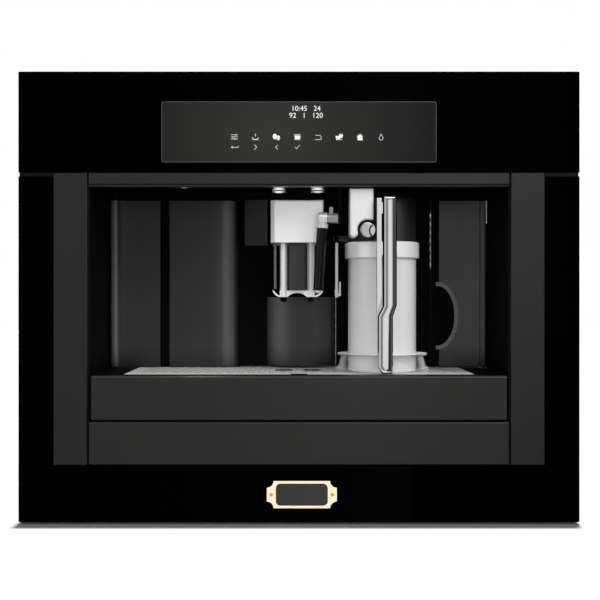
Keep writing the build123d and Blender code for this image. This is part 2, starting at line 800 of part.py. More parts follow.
cover_bulge = 18.0
side_block_depth = 103.0  # the block beside the outlet's arm
side_block_z = (301.0, 354.0)
cover_z = (door_bottom + 1.4, door_bottom + 81.9)
with BuildPart() as centre_cover:
    with BuildSketch(Plane.XY.offset(cover_z[0])):
        for shrink, mode in ((0, Mode.ADD), (3, Mode.SUBTRACT)):
            with BuildLine():
                ends = [(cover_x + side * (cover_half - shrink), niche_back_y) for side in (-1, 1)]
                crown = (cover_x, niche_back_y - cover_bulge + shrink)
                ThreePointArc(ends[0], crown, ends[1])
                Line(ends[1], ends[0])
            make_face(mode=mode)
    extrude(amount=cover_z[1] - cover_z[0])
    with BuildSketch(Plane.XY.offset(cover_z[1] - 2)):
        with BuildLine():
            ThreePointArc(ends[0], crown, ends[1])
            Line(ends[1], ends[0])
        make_face()
    extrude(amount=2)
    side_x = (cover_x - cover_half - 25.1, cover_x - cover_half + 0.9)
    block(side_x, (at_depth(side_block_depth), niche_back_y), side_block_z)
save(centre_cover, "centre_cover")

# ---------------------------------------------------------------- coffee outlet
head_x = (spout_x - spout_head_width / 2, spout_x + spout_head_width / 2)
head_y = (at_depth(spout_face_depth), at_depth(spout_face_depth + spout_head_depth))
head_bottom = spout_head_top - spout_head_height
column_gap = 0.5
column_x = (head_x[0] + spout_wall + column_gap, head_x[1] - spout_wall - column_gap)
column_y = (head_y[0] + spout_wall + column_gap, head_y[0] + spout_wall + column_gap + 25)
column_top = spout_head_top - spout_wall - column_gap - spout_travel
outlet_top = nozzle_height + 12.3
outlet_bottom = nozzle_height + 5.0
tube_y = sum(column_y) / 2 - 2
tube_x = [spout_x + side * spout_tube_spacing / 2 for side in (-1, 1)]

with BuildPart() as spout_head:
    block(head_x, head_y, (head_bottom, spout_head_top))
    front_edges = spout_head.edges().filter_by(Axis.Z).group_by(Axis.Y)[0].sort_by(Axis.X)
    chamfer(front_edges[0], 4.5)
    chamfer(front_edges[-1], 1.2)
    top_front = spout_head.faces().sort_by(Axis.Z)[-1].edges().sort_by(Axis.Y)[0]
    chamfer(top_front, 1.2)
    cavity_x = (head_x[0] + spout_wall, head_x[1] - spout_wall)
    cavity_y = (head_y[0] + spout_wall, head_y[1] - spout_wall)
    cavity_z = (head_bottom - 1, spout_head_top - spout_wall)
    block(cavity_x, cavity_y, cavity_z, mode=Mode.SUBTRACT)
    arm_z = (head_bottom + 12, spout_head_top - 4)
    block((spout_x - 20, spout_x + 20), (head_y[1] - spout_wall, niche_back_y), arm_z)
save(spout_head, "spout_head")

with BuildPart() as spout_column:
    slider_z = (column_top - 8, column_top)
    block(column_x, column_y, slider_z)
    core_x = (spout_x - 9.6, spout_x + 9.6)
    block(core_x, (column_y[0] + 1, column_y[1] - 2), (outlet_top, slider_z[0]))
    fillet(spout_column.edges().filter_by(Axis.Z).group_by(Axis.Y)[1], 2)
    fin_x = (column_x[0], column_x[0] + 2.6)
    fin_gap = 1.6  # above the outlet's wing
    block(fin_x, (column_y[0] + 4, column_y[1]), (outlet_top + fin_gap, slider_z[0]))
    for x in tube_x:
        with Locations((x, tube_y, (nozzle_height + outlet_bottom) / 2)):
            Cone(3.1, 4.2, outlet_bottom - nozzle_height)
        with Locations((x, tube_y, (nozzle_height + outlet_top) / 2)):
            Cylinder(1.8, outlet_top - nozzle_height + 1)
        with Locations((x, tube_y, nozzle_height + 2)):
            Cylinder(1.3, 8, mode=Mode.SUBTRACT)
save(spout_column, "spout_column")

with BuildPart() as spout_tubes:
    for x in tube_x:
        with Locations((x, tube_y, (outlet_top + slider_z[0]) / 2)):
            Cylinder(spout_tube_radius, slider_z[0] - outlet_top)
            Cylinder(spout_tube_radius - 1.2, slider_z[0] - outlet_top, mode=Mode.SUBTRACT)
arch_half = spout_tube_spacing / 2 - spout_tube_radius
arch_rise = 4.6
wing_inner = spout_tube_spacing / 2 + spout_tube_radius
wing_reach = (-27.5, 28.8)  # from the middle of the outlet
wing_wall = 1.3

with BuildPart() as spout_outlet:
    with BuildSketch(front_plane(column_y[1])):
        with BuildLine():
            ThreePointArc(
                (spout_x - arch_half, outlet_bottom),
                (spout_x, outlet_bottom + arch_rise),
                (spout_x + arch_half, outlet_bottom),
            )
            Polyline(
                (spout_x + arch_half, outlet_bottom),
                (spout_x + wing_inner, outlet_bottom),
                (spout_x + wing_inner, outlet_top),
                (spout_x - wing_inner, outlet_top),
                (spout_x - wing_inner, outlet_bottom),
                (spout_x - arch_half, outlet_bottom),
            )
        make_face()
        for reach in wing_reach:
            with BuildLine():
                side = 1 if reach > 0 else -1
                root = spout_x + side * wing_inner
                tip = spout_x + reach
                bend = (tip - side * 2.6, outlet_bottom + 2.9)
                inner_bend = (bend[0] - side * wing_wall, bend[1] + wing_wall)
                ThreePointArc((root, outlet_bottom), bend, (tip, outlet_top))
                Line((tip, outlet_top), (tip - side * wing_wall, outlet_top))
                inner_root = (root, outlet_bottom + wing_wall)
                ThreePointArc((tip - side * wing_wall, outlet_top), inner_bend, inner_root)
                Line(inner_root, (root, outlet_bottom))
            make_face()
    extrude(amount=column_y[1] - tube_y + 3)
    for x in tube_x:
        with Locations((x, tube_y, (outlet_top + outlet_bottom) / 2)):
            Cylinder(spout_tube_radius, outlet_top - outlet_bottom)
    for x in tube_x:
        with Locations((x, tube_y, (outlet_top + outlet_bottom) / 2)):
            Cylinder(1.8, 20, mode=Mode.SUBTRACT)
spout_tubes.part = Compound(children=[spout_tubes.part, spout_outlet.part])
save(spout_tubes, "spout_tubes")

# ---------------------------------------------------------------- hot-water wand
wand_y = at_depth(wand_depth)
collar_half = 5.0
collar_radius = 6.6
elbow_radius = 5.6
bracket_x = 45.0

with BuildPart() as wand_bracket:
    block((bracket_x - 2.5, bracket_x + 2.5), (wand_y - 6, wand_y + 6), (wand_pivot_z - 5, ceiling))
    elbow_x0 = wand_x + collar_half + running_gap
    with BuildSketch(Plane.YZ.offset(elbow_x0)):
        with Locations((wand_y, wand_pivot_z)):
            Circle(elbow_radius)
    extrude(amount=bracket_x - elbow_x0)
    with BuildSketch(Plane.YZ.offset(wand_x - collar_half)):
        with Locations((wand_y, wand_pivot_z)):
            Circle(wand_pin_radius)
    extrude(amount=2 * collar_half + 1)
    lever = (bracket_x - 12, bracket_x - 8)
    block(lever, (wand_y - 3, wand_y + 3), (wand_pivot_z + 4, wand_pivot_z + 12))
save(wand_bracket, "wand_bracket")

grip_drop = 11.0  # from the pivot to the top of the grip
wand_lean = 5.4  # the wand leans this far to the left over its length
wand_direction = Vector(-wand_lean, 0, -wand_length).normalized()


def wand_plane(drop):
    """A plane square to the wand, this far below its pivot, facing down it."""
    origin = Vector(wand_x, wand_y, wand_pivot_z) + wand_direction * drop
    return Plane(origin=origin, x_dir=(0, 1, 0), z_dir=wand_direction)


with BuildPart() as wand_collar:
    with BuildSketch(Plane.YZ.offset(wand_x - collar_half)):
        with Locations((wand_y, wand_pivot_z)):
            Circle(collar_radius)
    extrude(amount=2 * collar_half)
    fillet(wand_collar.edges().filter_by(GeomType.CIRCLE), 1.5)
    with BuildSketch(wand_plane(collar_radius - 2)):
        Circle(4.4)
    extrude(amount=4)
    with BuildSketch(wand_plane(collar_radius - 0.4)):
        Circle(wand_grip_radius + 0.6)
    extrude(amount=grip_drop - collar_radius + 0.4)
    with BuildSketch(wand_plane(8)):
        Circle(2.2)
    extrude(amount=wand_length - 8)
    with BuildSketch(wand_plane(wand_length - 3)):
        Circle(4.6)
    extrude(amount=2)
    with BuildSketch(Plane.YZ.offset(wand_x - collar_half - 1)):
        with Locations((wand_y, wand_pivot_z)):
            Circle(wand_pin_radius + pin_gap)
    extrude(amount=2 * collar_half + 2, mode=Mode.SUBTRACT)
    with BuildSketch(wand_plane(wand_length - 12)):
        Circle(1.3)
    extrude(amount=20, mode=Mode.SUBTRACT)
save(wand_collar, "wand_collar")

with BuildPart() as wand_grip:
    with BuildSketch(wand_plane(grip_drop)):
        Circle(wand_grip_radius)
    with BuildSketch(wand_plane(wand_length - 3)):
        Circle(wand_grip_radius - 0.4)
    loft()
    with BuildSketch(wand_plane(grip_drop - 1)):
        Circle(2.2)
    extrude(amount=wand_length, mode=Mode.SUBTRACT)
save(wand_grip, "wand_grip")

# ---------------------------------------------------------------- milk jug
jug_y = at_depth(jug_depth)
jug_axis = Axis((jug_x, jug_y, 0), (0, 0, 1))
jug_bottom = bin_top + seat_gap
jug_floor = 2.5
foot_wall = 1.6
foot_ring_width = 4.5
foot_ring_height = 4.5
jug_body_top = jug_ring_bottom + 10
plug_radius = jug_radius - jug_wall - running_gap


def about_jug(*points):
    """Half a section of a piece turned about the jug's axis, from (radius, height) points."""
    Polygon(*[(jug_x + radius, height) for radius, height in points], align=None)


with BuildPart() as jug_body:
    flange_top = jug_bottom + jug_flange_height
    flange_low = flange_top - foot_wall
    ring_top = jug_bottom + foot_ring_height
    skirt_top = jug_flange_radius - 4.5
    with BuildSketch(front_plane(jug_y)):
        about_jug(
            (0, jug_bottom),
            (jug_radius - 1, jug_bottom),
            (jug_radius, jug_bottom + 1),
            (jug_radius, flange_low),
            (skirt_top - foot_wall, flange_low),
            (jug_foot_radius - foot_ring_width, ring_top),
            (jug_foot_radius - foot_ring_width, jug_bottom),
            (jug_foot_radius - 1, jug_bottom),
            (jug_foot_radius, jug_bottom + 1),
            (jug_foot_radius, ring_top - 1),
            (jug_foot_radius - 1, ring_top),
            (jug_foot_radius - foot_ring_width + foot_wall, ring_top),
            (skirt_top, flange_low),
            (jug_flange_radius, flange_low),
            (jug_flange_radius, flange_top),
            (jug_radius, flange_top),
            (jug_radius, jug_body_top),
            (jug_radius - jug_wall, jug_body_top),
            (jug_radius - jug_wall, jug_bottom + 2 * jug_floor),
            (0, jug_bottom + 2 * jug_floor),
        )
    revolve(axis=jug_axis)
save(jug_body, "jug_body")

intake_offset = 19.0
intake_radius = 2.5
steam_bore_radius = 5.3
steam_z = 325.0
lid_back_y = jug_y + jug_radius + 3.0
knob_y = (at_depth(8), at_depth(20.7))
knob_bore_depth = 40.0
knob_stem_end = 39.0
lid_radius = jug_radius - 0.2
outlet_pin_radius = 2.0
outlet_pivot_z = 306.0
outlet_half = 2.5

with BuildPart() as jug_lid:
    with BuildSketch(front_plane(jug_y)):
        about_jug(
            (0, jug_body_top - 4),
            (plug_radius, jug_body_top - 4),
            (plug_radius, jug_lid_bottom),
            (lid_radius, jug_lid_bottom),
            (lid_radius, jug_lid_top - 3),
            (lid_radius - 3, jug_lid_top),
            (0, jug_lid_top),
        )
    revolve(axis=jug_axis)
    block((jug_x - 9, jug_x + 9), (jug_y, lid_back_y), (steam_z - 9, steam_z + 9))
    with BuildSketch(front_plane(jug_y)):
        with Locations((knob_x, knob_z)):
            Circle(knob_radius + 1)
    extrude(amount=jug_y - at_depth(21))
    with Locations((jug_x + intake_offset, jug_y, (jug_bottom + 10 + jug_lid_bottom) / 2)):
        Cylinder(intake_radius, jug_lid_bottom - jug_bottom - 10)
    pin_start = milk_outlet_x - outlet_half - 1
    with BuildSketch(Plane.YZ.offset(pin_start)):
        with Locations((jug_y, outlet_pivot_z)):
            Circle(outlet_pin_radius)
    extrude(amount=jug_x - pin_start)
    boss_start = milk_outlet_x + outlet_half + running_gap
    with BuildSketch(Plane.YZ.offset(boss_start)):
        with Locations((jug_y, outlet_pivot_z)):
            Circle(3.6)
    extrude(amount=jug_x - boss_start)
    with BuildSketch(front_plane(lid_back_y)):
        with Locations((jug_x, steam_z)):
            Circle(steam_bore_radius)
    extrude(amount=18, mode=Mode.SUBTRACT)
    with BuildSketch(front_plane(at_depth(knob_bore_depth))):
        with Locations((knob_x, knob_z)):
            Circle(knob_stem_radius + pin_gap)
    extrude(amount=knob_bore_depth, mode=Mode.SUBTRACT)
save(jug_lid, "jug_lid")

block_x = (54.3, 80.0)
block_bottom = 323.6
tongue_right = 63.3
with BuildPart() as jug_front_block:
    with BuildSketch(front_plane(jug_y)):
        with BuildLine():
            right_low = (block_x[1], block_bottom)
            foot = 309.5
            Polyline(
                (block_x[0], foot),
                (block_x[0], lip_bottom - 1.0),
                (block_x[1], lip_bottom - 1.0),
                right_low,
                (knob_x + 2, block_bottom),
            )
            ThreePointArc((knob_x + 2, block_bottom), (knob_x - 7.6, knob_z + 7.6), (tongue_right, foot))
            tongue_centre = (block_x[0] + tongue_right) / 2
            tongue_end = foot - (tongue_right - block_x[0]) / 2
            ThreePointArc((tongue_right, foot), (tongue_centre, tongue_end), (block_x[0], foot))
        make_face()
    extrude(amount=jug_depth - 9.0)
    fillet(jug_front_block.faces().sort_by(Axis.Y)[0].outer_wire().edges(), 2.2)
    with BuildSketch(Plane.XY.offset(jug_lid_bottom - 5)):
        with Locations((jug_x, jug_y)):
            Circle(lid_radius + 0.1)
    extrude(amount=100, mode=Mode.SUBTRACT)
    behind = (at_depth(36), jug_y + 1)
    block((0, jug_x), behind, (jug_lid_bottom - 5, ceiling), mode=Mode.SUBTRACT)
save(jug_front_block, "jug_front_block")

with BuildPart() as froth_knob:
    with BuildSketch(front_plane(knob_y[1])):
        with Locations((knob_x, knob_z)):
            Circle(knob_radius)
    extrude(amount=knob_y[1] - knob_y[0])
    fillet(froth_knob.edges().group_by(Axis.Y)[0], 1.2)
    with BuildSketch(front_plane(knob_y[0])):
        with Locations((knob_x + 9, knob_z - 1)):
            Circle(knob_radius)
    extrude(amount=-2.5, mode=Mode.SUBTRACT)
    with BuildSketch(front_plane(at_depth(knob_stem_end))):
        with Locations((knob_x, knob_z)):
            Circle(knob_stem_radius)
    extrude(amount=at_depth(knob_stem_end) - knob_y[1] + 1)
save(froth_knob, "froth_knob")

handle_y = (at_depth(1.0), at_depth(9.0))
handle_upper = (89.2, 104.3)
handle_lower = (83.6, 100.3)
handle_top = 349.3
handle_bottom = jug_bottom + 0.6
jog_z = (220.4, 231.7)
slim_bar = (82.9, 87.7)
slim_bar_set_back = 1.5
handle_round = 5.6
with BuildPart() as jug_handle:
    with BuildSketch(front_plane(jug_y)):
        about_jug(
            (jug_radius + 0.1, jug_ring_bottom),
            (jug_ring_radius - 1, jug_ring_bottom),
            (jug_ring_radius, jug_ring_bottom + 1),
            (jug_ring_radius, jug_lid_bottom - 1),
            (jug_ring_radius - 1, jug_lid_bottom),
            (jug_radius + 0.1, jug_lid_bottom),
        )
    revolve(axis=jug_axis)
    with BuildSketch(front_plane(handle_y[1])):
        Polygon(
            (handle_upper[0], handle_top),
            (handle_upper[0], jog_z[1]),
            (handle_lower[0], jog_z[0]),
            (handle_lower[0], handle_bottom + 7),
            (handle_lower[0] + 5, handle_bottom),
            (handle_lower[1], handle_bottom),
            (handle_lower[1], jog_z[0]),
            (handle_upper[1], jog_z[1]),
            (handle_upper[1], handle_top),
            align=None,
        )
    extrude(amount=handle_y[1] - handle_y[0])
    fillet(jug_handle.faces().sort_by(Axis.Y)[0].outer_wire().edges(), handle_round)
    with BuildSketch(front_plane(handle_y[1])):
        Polygon(
            (slim_bar[0], handle_top - 3),
            (slim_bar[1], handle_top - 3),
            (slim_bar[1], jog_z[1] + 10),
            (slim_bar[0], jog_z[1] - 8),
            align=None,
        )
    extrude(amount=handle_y[1] - handle_y[0] - slim_bar_set_back)
    bridge_z = (jug_ring_bottom + 2, jug_lid_bottom - 2)
    block((slim_bar[0], handle_upper[1]), (handle_y[1] - 3, jug_y - jug_radius - 1), bridge_z)
    block((slim_bar[0], handle_upper[1]), (handle_y[1] - 3, handle_y[1] + 4), (330, 342))
save(jug_handle, "jug_handle")

milk_end = 240.5
air_prong_offset = 3.7  # the short air tube beside the milk tube
air_prong = (242.0, 258.0)
with BuildPart() as milk_outlet:
    with BuildSketch(Plane.YZ.offset(milk_outlet_x - outlet_half)):
        with Locations((jug_y, outlet_pivot_z)):
            Circle(4.4)
    extrude(amount=2 * outlet_half)
    with Locations((milk_outlet_x, jug_y, (milk_end + 4 + outlet_pivot_z) / 2)):
        Cylinder(1.8, outlet_pivot_z - milk_end - 4)
    with Locations((milk_outlet_x, jug_y, milk_end + 4)):
        Cone(1.8, 2.5, 8)
    with Locations((milk_outlet_x + air_prong_offset, jug_y, sum(air_prong) / 2)):
        Cylinder(1.1, air_prong[1] - air_prong[0])
    foot_z = (air_prong[0], air_prong[0] + 3)
    block((milk_outlet_x + 1.5, milk_outlet_x + air_prong_offset), (jug_y - 1.1, jug_y + 1.1), foot_z)
    with BuildSketch(Plane.YZ.offset(milk_outlet_x - outlet_half - 1)):
        with Locations((jug_y, outlet_pivot_z)):
            Circle(outlet_pin_radius + pin_gap)
    extrude(amount=2 * outlet_half + 2, mode=Mode.SUBTRACT)
    with Locations((milk_outlet_x, jug_y, milk_end + 4)):
        Cylinder(1.1, 16, mode=Mode.SUBTRACT)
save(milk_outlet, "milk_outlet")

with BuildPart() as milk_dock:
    dock_face_y = lid_back_y + 4.0
    nozzle_reach = 19.0
    block((jug_x - 14, jug_x + 14), (dock_face_y, niche_back_y), (steam_z - 16, steam_z + 18))
    fillet(milk_dock.edges().filter_by(Axis.Y), 4)
    with BuildSketch(front_plane(dock_face_y)):
        with Locations((jug_x, steam_z)):
            Circle(steam_bore_radius - running_gap)
    extrude(amount=nozzle_reach)
    chamfer(milk_dock.edges().group_by(Axis.Y)[0], 1)
    with BuildSketch(front_plane(dock_face_y - nozzle_reach - 1)):
        with Locations((jug_x, steam_z)):
            Circle(1.5)
    extrude(amount=-20, mode=Mode.SUBTRACT)
save(milk_dock, "milk_dock")

# ---------------------------------------------------------------- brewing parts behind the niche
brew_x = chute_x
brew_y = chute_y
brew_half = 28.0
brew_y_span = (lining_back_y + 4, brew_y + 78)
cylinder_radius = 22.0
cylinder_bore = 18.0
cylinder_bottom = deck_top + 70.0
cylinder_top = deck_top + 163.0
brew_plate = 3.0
piston_rod_radius = 5.0

with BuildPart() as brew_unit:
    plate_z = (deck_top, cylinder_top - 10)
    for side in (-1, 1):
        x = sorted((brew_x + side * brew_half, brew_x + side * (brew_half - brew_plate)))
        block(x, brew_y_span, plate_z)
    block((brew_x - brew_half, brew_x + brew_half), brew_y_span, (deck_top, deck_top + brew_plate))
    bridge_y = (brew_y - cylinder_radius, brew_y + cylinder_radius)
    bridge_x = (brew_x - brew_half, brew_x + brew_half)
    block(bridge_x, bridge_y, (cylinder_bottom, cylinder_bottom + 5))
    with BuildSketch(Plane.XY.offset(cylinder_bottom)):
        with Locations((brew_x, brew_y)):
            Circle(cylinder_radius)
    extrude(amount=cylinder_top - cylinder_bottom)
    with BuildSketch(Plane.XY.offset(cylinder_bottom + 5)):
        with Locations((brew_x, brew_y)):
            Circle(cylinder_bore)
    extrude(amount=cylinder_top, mode=Mode.SUBTRACT)
    with BuildSketch(Plane.XY.offset(cylinder_bottom - 1)):
        with Locations((brew_x, brew_y)):
            Circle(piston_rod_radius + pin_gap)
    extrude(amount=10, mode=Mode.SUBTRACT)
save(brew_unit, "brew_unit")

with BuildPart() as brew_piston:
    with BuildSketch(Plane.XY.offset(cylinder_bottom + 5 + seat_gap)):
        with Locations((brew_x, brew_y)):
            Circle(cylinder_bore - 0.3)
    extrude(amount=14)
    with BuildSketch(Plane.XY.offset(deck_top + 12)):
        with Locations((brew_x, brew_y)):
            Circle(piston_rod_radius)
    extrude(amount=cylinder_bottom + 6 - deck_top - 12)
    with BuildSketch(Plane.XY.offset(cylinder_bottom + 11)):
        with Locations((brew_x, brew_y)):
            Circle(cylinder_bore)
            Circle(cylinder_bore - 1.6, mode=Mode.SUBTRACT)
    extrude(amount=3, mode=Mode.SUBTRACT)
save(brew_piston, "brew_piston")

with BuildPart() as gearmotor:
    gear_y = (brew_y_span[1], brew_y_span[1] + 20)
    gear_z = deck_top + 42
    block((brew_x - 26, brew_x + 26), gear_y, (deck_top, deck_top + 80))
    fillet(gearmotor.edges().filter_by(Axis.Y).group_by(Axis.Z)[-1], 12)
    with BuildSketch(front_plane(gear_y[1] + 42)):
        with Locations((brew_x, gear_z)):
            Circle(17)
    extrude(amount=42)
    with BuildSketch(front_plane(gear_y[1] + 46)):
        with Locations((brew_x, gear_z)):
            Circle(6)
    extrude(amount=4)
save(gearmotor, "gearmotor")

grounds_length = 130.0
grounds_height = 92.0
grip_bar = 3.0  # thickness of the bar that a finger pulls
with BuildPart() as grounds_container:
    bin_x = (door_left + 10, brew_x - brew_half - 5)
    bin_y = (lining_back_y + 5, lining_back_y + 5 + grounds_length)
    bin_z = (deck_top, deck_top + grounds_height)
    block(bin_x, bin_y, bin_z)
    fillet(grounds_container.edges().filter_by(Axis.Z), 8)
    offset(amount=-moulding, openings=grounds_container.faces().sort_by(Axis.Z)[-1])
    grip_y = (bin_y[0] + moulding / 4, bin_y[0] + 12)
    block((bin_x[0] + 15, bin_x[1] - 15), grip_y, (bin_z[1] - grip_bar, bin_z[1]))
save(grounds_container, "grounds_container")

boiler_x = (-58.0, 34.0)
boiler_depth = 148.0
boiler_length = 110.0
boiler_y = (at_depth(boiler_depth), at_depth(boiler_depth + boiler_length))
boiler_z = (230.0, 320.0)
boiler_round = 14.0
boiler_foot_inset = boiler_round + 2.0
boiler_pipe_inset = 34.0
boiler_pipe_radius = 4.0
boiler_pipe_length = 10.0
cooling_groove = 5.0
cooling_pitch = 12.0
cooling_depth = 8.0
with BuildPart() as boiler:
    block(boiler_x, boiler_y, boiler_z)
    fillet(boiler.edges().filter_by(Axis.Y), boiler_round)
    groove_z = (boiler_z[1] - cooling_depth, boiler_z[1] + 1)
    for step in range(6):
        x = boiler_x[0] + boiler_foot_inset + step * cooling_pitch
        block((x - cooling_groove / 2, x + cooling_groove / 2), boiler_y, groove_z, mode=Mode.SUBTRACT)
    foot_y = (nose_clear_y + moulding, boiler_y[1] - cooling_depth)
    for x in (boiler_x[0] + boiler_foot_inset, boiler_x[1] - boiler_foot_inset):
        block((x - moulding, x + moulding), foot_y, (deck_top, boiler_z[0]))
    for x in (boiler_x[0] + boiler_pipe_inset, boiler_x[1] - boiler_pipe_inset):
        with BuildSketch(front_plane(boiler_y[0])):
            with Locations((x, sum(boiler_z) / 2 + 5)):
                Circle(boiler_pipe_radius)
        extrude(amount=boiler_pipe_length)
save(boiler, "boiler")

pump_x = 85.0
pump_z = 42.0
pump_depth = 210.0
pump_start_y = at_depth(pump_depth)
pump_stages = ((0.0, 18.0, 12.0), (18.0, 70.0, 24.0), (70.0, 100.0, 15.0))  # start, end and radius
pump_foot = (30.0, 60.0)  # from the pump's front end
pump_foot_half = 22.0
pan_floor = pan_height + sheet
with BuildPart() as pump:
    for start, end, radius in pump_stages:
        with BuildSketch(front_plane(pump_start_y + end)):
            with Locations((pump_x, pump_z)):
                Circle(radius)
        extrude(amount=end - start)
    foot_x = (pump_x - pump_foot_half, pump_x + pump_foot_half)
    foot_y = (pump_start_y + pump_foot[0], pump_start_y + pump_foot[1])
    block(foot_x, foot_y, (pan_floor, pump_z - 15))
save(pump, "pump")

grinder_x = hopper_x
grinder_y = hopper_y
chamber_bottom = 300.0
chamber_floor = 330.0
shaft_radius = 4.0
with BuildPart() as grinder_housing:
    grinder_profile = (
        (0, deck_top),
        (30, deck_top),
        (30, chamber_bottom),
        (grinder_radius, chamber_bottom + 8),
        (grinder_radius, grinder_top),
        (grinder_radius - 3, grinder_top),
        (grinder_radius - 3, chamber_floor),
        (shaft_radius + pin_gap, chamber_floor),
        (shaft_radius + pin_gap, chamber_bottom + 5),
        (0, chamber_bottom + 5),
    )
    with BuildSketch(front_plane(grinder_y)):
        Polygon(*[(grinder_x + r, z) for r, z in grinder_profile], align=None)
    revolve(axis=Axis((grinder_x, grinder_y, 0), (0, 0, 1)))
save(grinder_housing, "grinder_housing")

burr_bottom = chamber_floor + 20.0
burr_gap = 1.2
burr_teeth = 12
burr_top_radius = burr_radius - 9.0
with BuildPart() as ring_burr:
    ring_points = (
        (burr_radius + burr_gap, burr_bottom),
        (grinder_radius - 3, burr_bottom),
        (grinder_radius - 3, burr_bottom + burr_height),
        (burr_top_radius + burr_gap, burr_bottom + burr_height),
    )
    with BuildSketch(front_plane(grinder_y)):
        Polygon(*[(grinder_x + r, z) for r, z in ring_points], align=None)
    revolve(axis=Axis((grinder_x, grinder_y, 0), (0, 0, 1)))
    with BuildSketch(Plane.XY.offset(burr_bottom + burr_height)):
        with Locations((grinder_x, grinder_y)):
            with PolarLocations(burr_top_radius + burr_gap, burr_teeth):
                RegularPolygon(2.4, 3)
    extrude(amount=-burr_height, taper=0, mode=Mode.SUBTRACT)
save(ring_burr, "ring_burr")

with BuildPart() as cone_burr:
    cone_points = (
        (0, chamber_bottom + 6),
        (shaft_radius, chamber_bottom + 6),
        (shaft_radius, chamber_floor + seat_gap),
        (9, chamber_floor + seat_gap),
        (9, burr_bottom),
        (burr_radius, burr_bottom),
        (burr_top_radius, burr_bottom + burr_height),
        (5, burr_bottom + burr_height),
        (5, burr_bottom + burr_height + 8),
        (0, burr_bottom + burr_height + 8),
    )
    with BuildSketch(front_plane(grinder_y)):
        Polygon(*[(grinder_x + r, z) for r, z in cone_points], align=None)
    revolve(axis=Axis((grinder_x, grinder_y, 0), (0, 0, 1)))
    with BuildSketch(Plane.XY.offset(burr_bottom)):
        with Locations((grinder_x, grinder_y)):
            with PolarLocations(burr_radius, burr_teeth):
                RegularPolygon(2.6, 3, rotation=180)
    extrude(amount=burr_height, mode=Mode.SUBTRACT)
save(cone_burr, "cone_burr")

with BuildPart() as bean_hopper:
    throat_z = grinder_top + 9
    for inset, mode in ((0, Mode.ADD), (hopper_wall, Mode.SUBTRACT)):
        with BuildSketch(Plane.XY.offset(throat_z)):
            with Locations((hopper_x, hopper_y)):
                Circle(hopper_throat_radius - inset)
        with BuildSketch(Plane.XY.offset(cover_top)):
            with Locations((hopper_x, hopper_y)):
                width = hopper_width - 0.6 - 2 * inset
                length = hopper_length - 0.6 - 2 * inset
                RectangleRounded(width, length, mouth_radius - inset)
        loft(mode=mode)
    with BuildSketch(Plane.XY.offset(grinder_top)):
        with Locations((hopper_x, hopper_y)):
            Circle(hopper_throat_radius)
            Circle(hopper_throat_radius - hopper_wall, mode=Mode.SUBTRACT)
    extrude(amount=throat_z - grinder_top)
    with BuildSketch(Plane.XY.offset(grinder_top)):
        with Locations((hopper_x, hopper_y)):
            Circle(grinder_radius)
            Circle(hopper_throat_radius, mode=Mode.SUBTRACT)
    extrude(amount=2)
    with BuildSketch(Plane.XY.offset(cover_top)):
        with Locations((hopper_x, hopper_y)):
            RectangleRounded(hopper_width + 8, hopper_length + 8, mouth_radius)
            inner = (hopper_width - 0.6 - 2 * hopper_wall, hopper_length - 0.6 - 2 * hopper_wall)
            RectangleRounded(*inner, mouth_radius - hopper_wall, mode=Mode.SUBTRACT)
    extrude(amount=moulding)
    hinge_y = hopper_y + hopper_length / 2 + 9.0
    hinge_z = cover_top + 5.0
    for side in (-1, 1):
        x = hopper_x + side * 66
        block((x - 3, x + 3), (hinge_y - 5, hinge_y + 4), (cover_top, hinge_z + 3.5))
        with BuildSketch(Plane.YZ.offset(x - 4)):
            with Locations((hinge_y, hinge_z)):
                Circle(1.5 + pin_gap)
        extrude(amount=8, mode=Mode.SUBTRACT)
save(bean_hopper, "bean_hopper")

with BuildPart() as coffee_chute:
    chute_foot = cylinder_top + 4
    for inset, mode in ((0, Mode.ADD), (moulding, Mode.SUBTRACT)):
        with BuildSketch(Plane.XY.offset(chute_foot)):
            with Locations((chute_x, chute_y)):
                Circle(cylinder_bore - 1 - inset)
        with BuildSketch(Plane.XY.offset(cover_top)):
            with Locations((chute_x, chute_y)):
                width = chute_width - 0.6 - 2 * inset
                length = chute_length - 0.6 - 2 * inset
                RectangleRounded(width, length, mouth_radius / 2 - inset)
        loft(mode=mode)
    with BuildSketch(Plane.XY.offset(cover_top)):
        with Locations((chute_x, chute_y)):
            RectangleRounded(chute_width + 8, chute_length + 8, mouth_radius / 2)
            inner = (chute_width - 0.6 - 2 * moulding, chute_length - 0.6 - 2 * moulding)
            RectangleRounded(*inner, mouth_radius / 2 - moulding, mode=Mode.SUBTRACT)
    extrude(amount=moulding)
    chute_hinge_y = chute_y + chute_length / 2 + 9.0
    for side in (-1, 1):
        x = chute_x + side * 25
        block((x - 3, x + 3), (chute_hinge_y - 5, chute_hinge_y + 4), (cover_top, hinge_z + 3.5))
        with BuildSketch(Plane.YZ.offset(x - 4)):
            with Locations((chute_hinge_y, hinge_z)):
                Circle(1.5 + pin_gap)
        extrude(amount=8, mode=Mode.SUBTRACT)
save(coffee_chute, "coffee_chute")

# ---------------------------------------------------------------- lids and dial on the top
lid_bottom = cover_top + moulding + seat_gap


def hinged_lid(x, y, width, length, pin_y, lug_offset):
    """A lid plate with a finger rim in front and a hinge barrel between two lugs."""
    plate_z = (lid_bottom, lid_bottom + lid_thickness)
    half = width / 2
    block((x - half, x + half), (y - length / 2, y + length / 2), plate_z)
    block((x - 12, x + 12), (y - length / 2 - 5, y - length / 2), plate_z)
    barrel_x = lug_offset - 3 - running_gap
    block((x - barrel_x, x + barrel_x), (y + length / 2, pin_y), plate_z)
    for radius, reach in ((2.6, barrel_x), (1.5, lug_offset + 3)):
        with Locations(Location((x, pin_y, hinge_z), (0, 90, 0))):
            Cylinder(radius, 2 * reach)


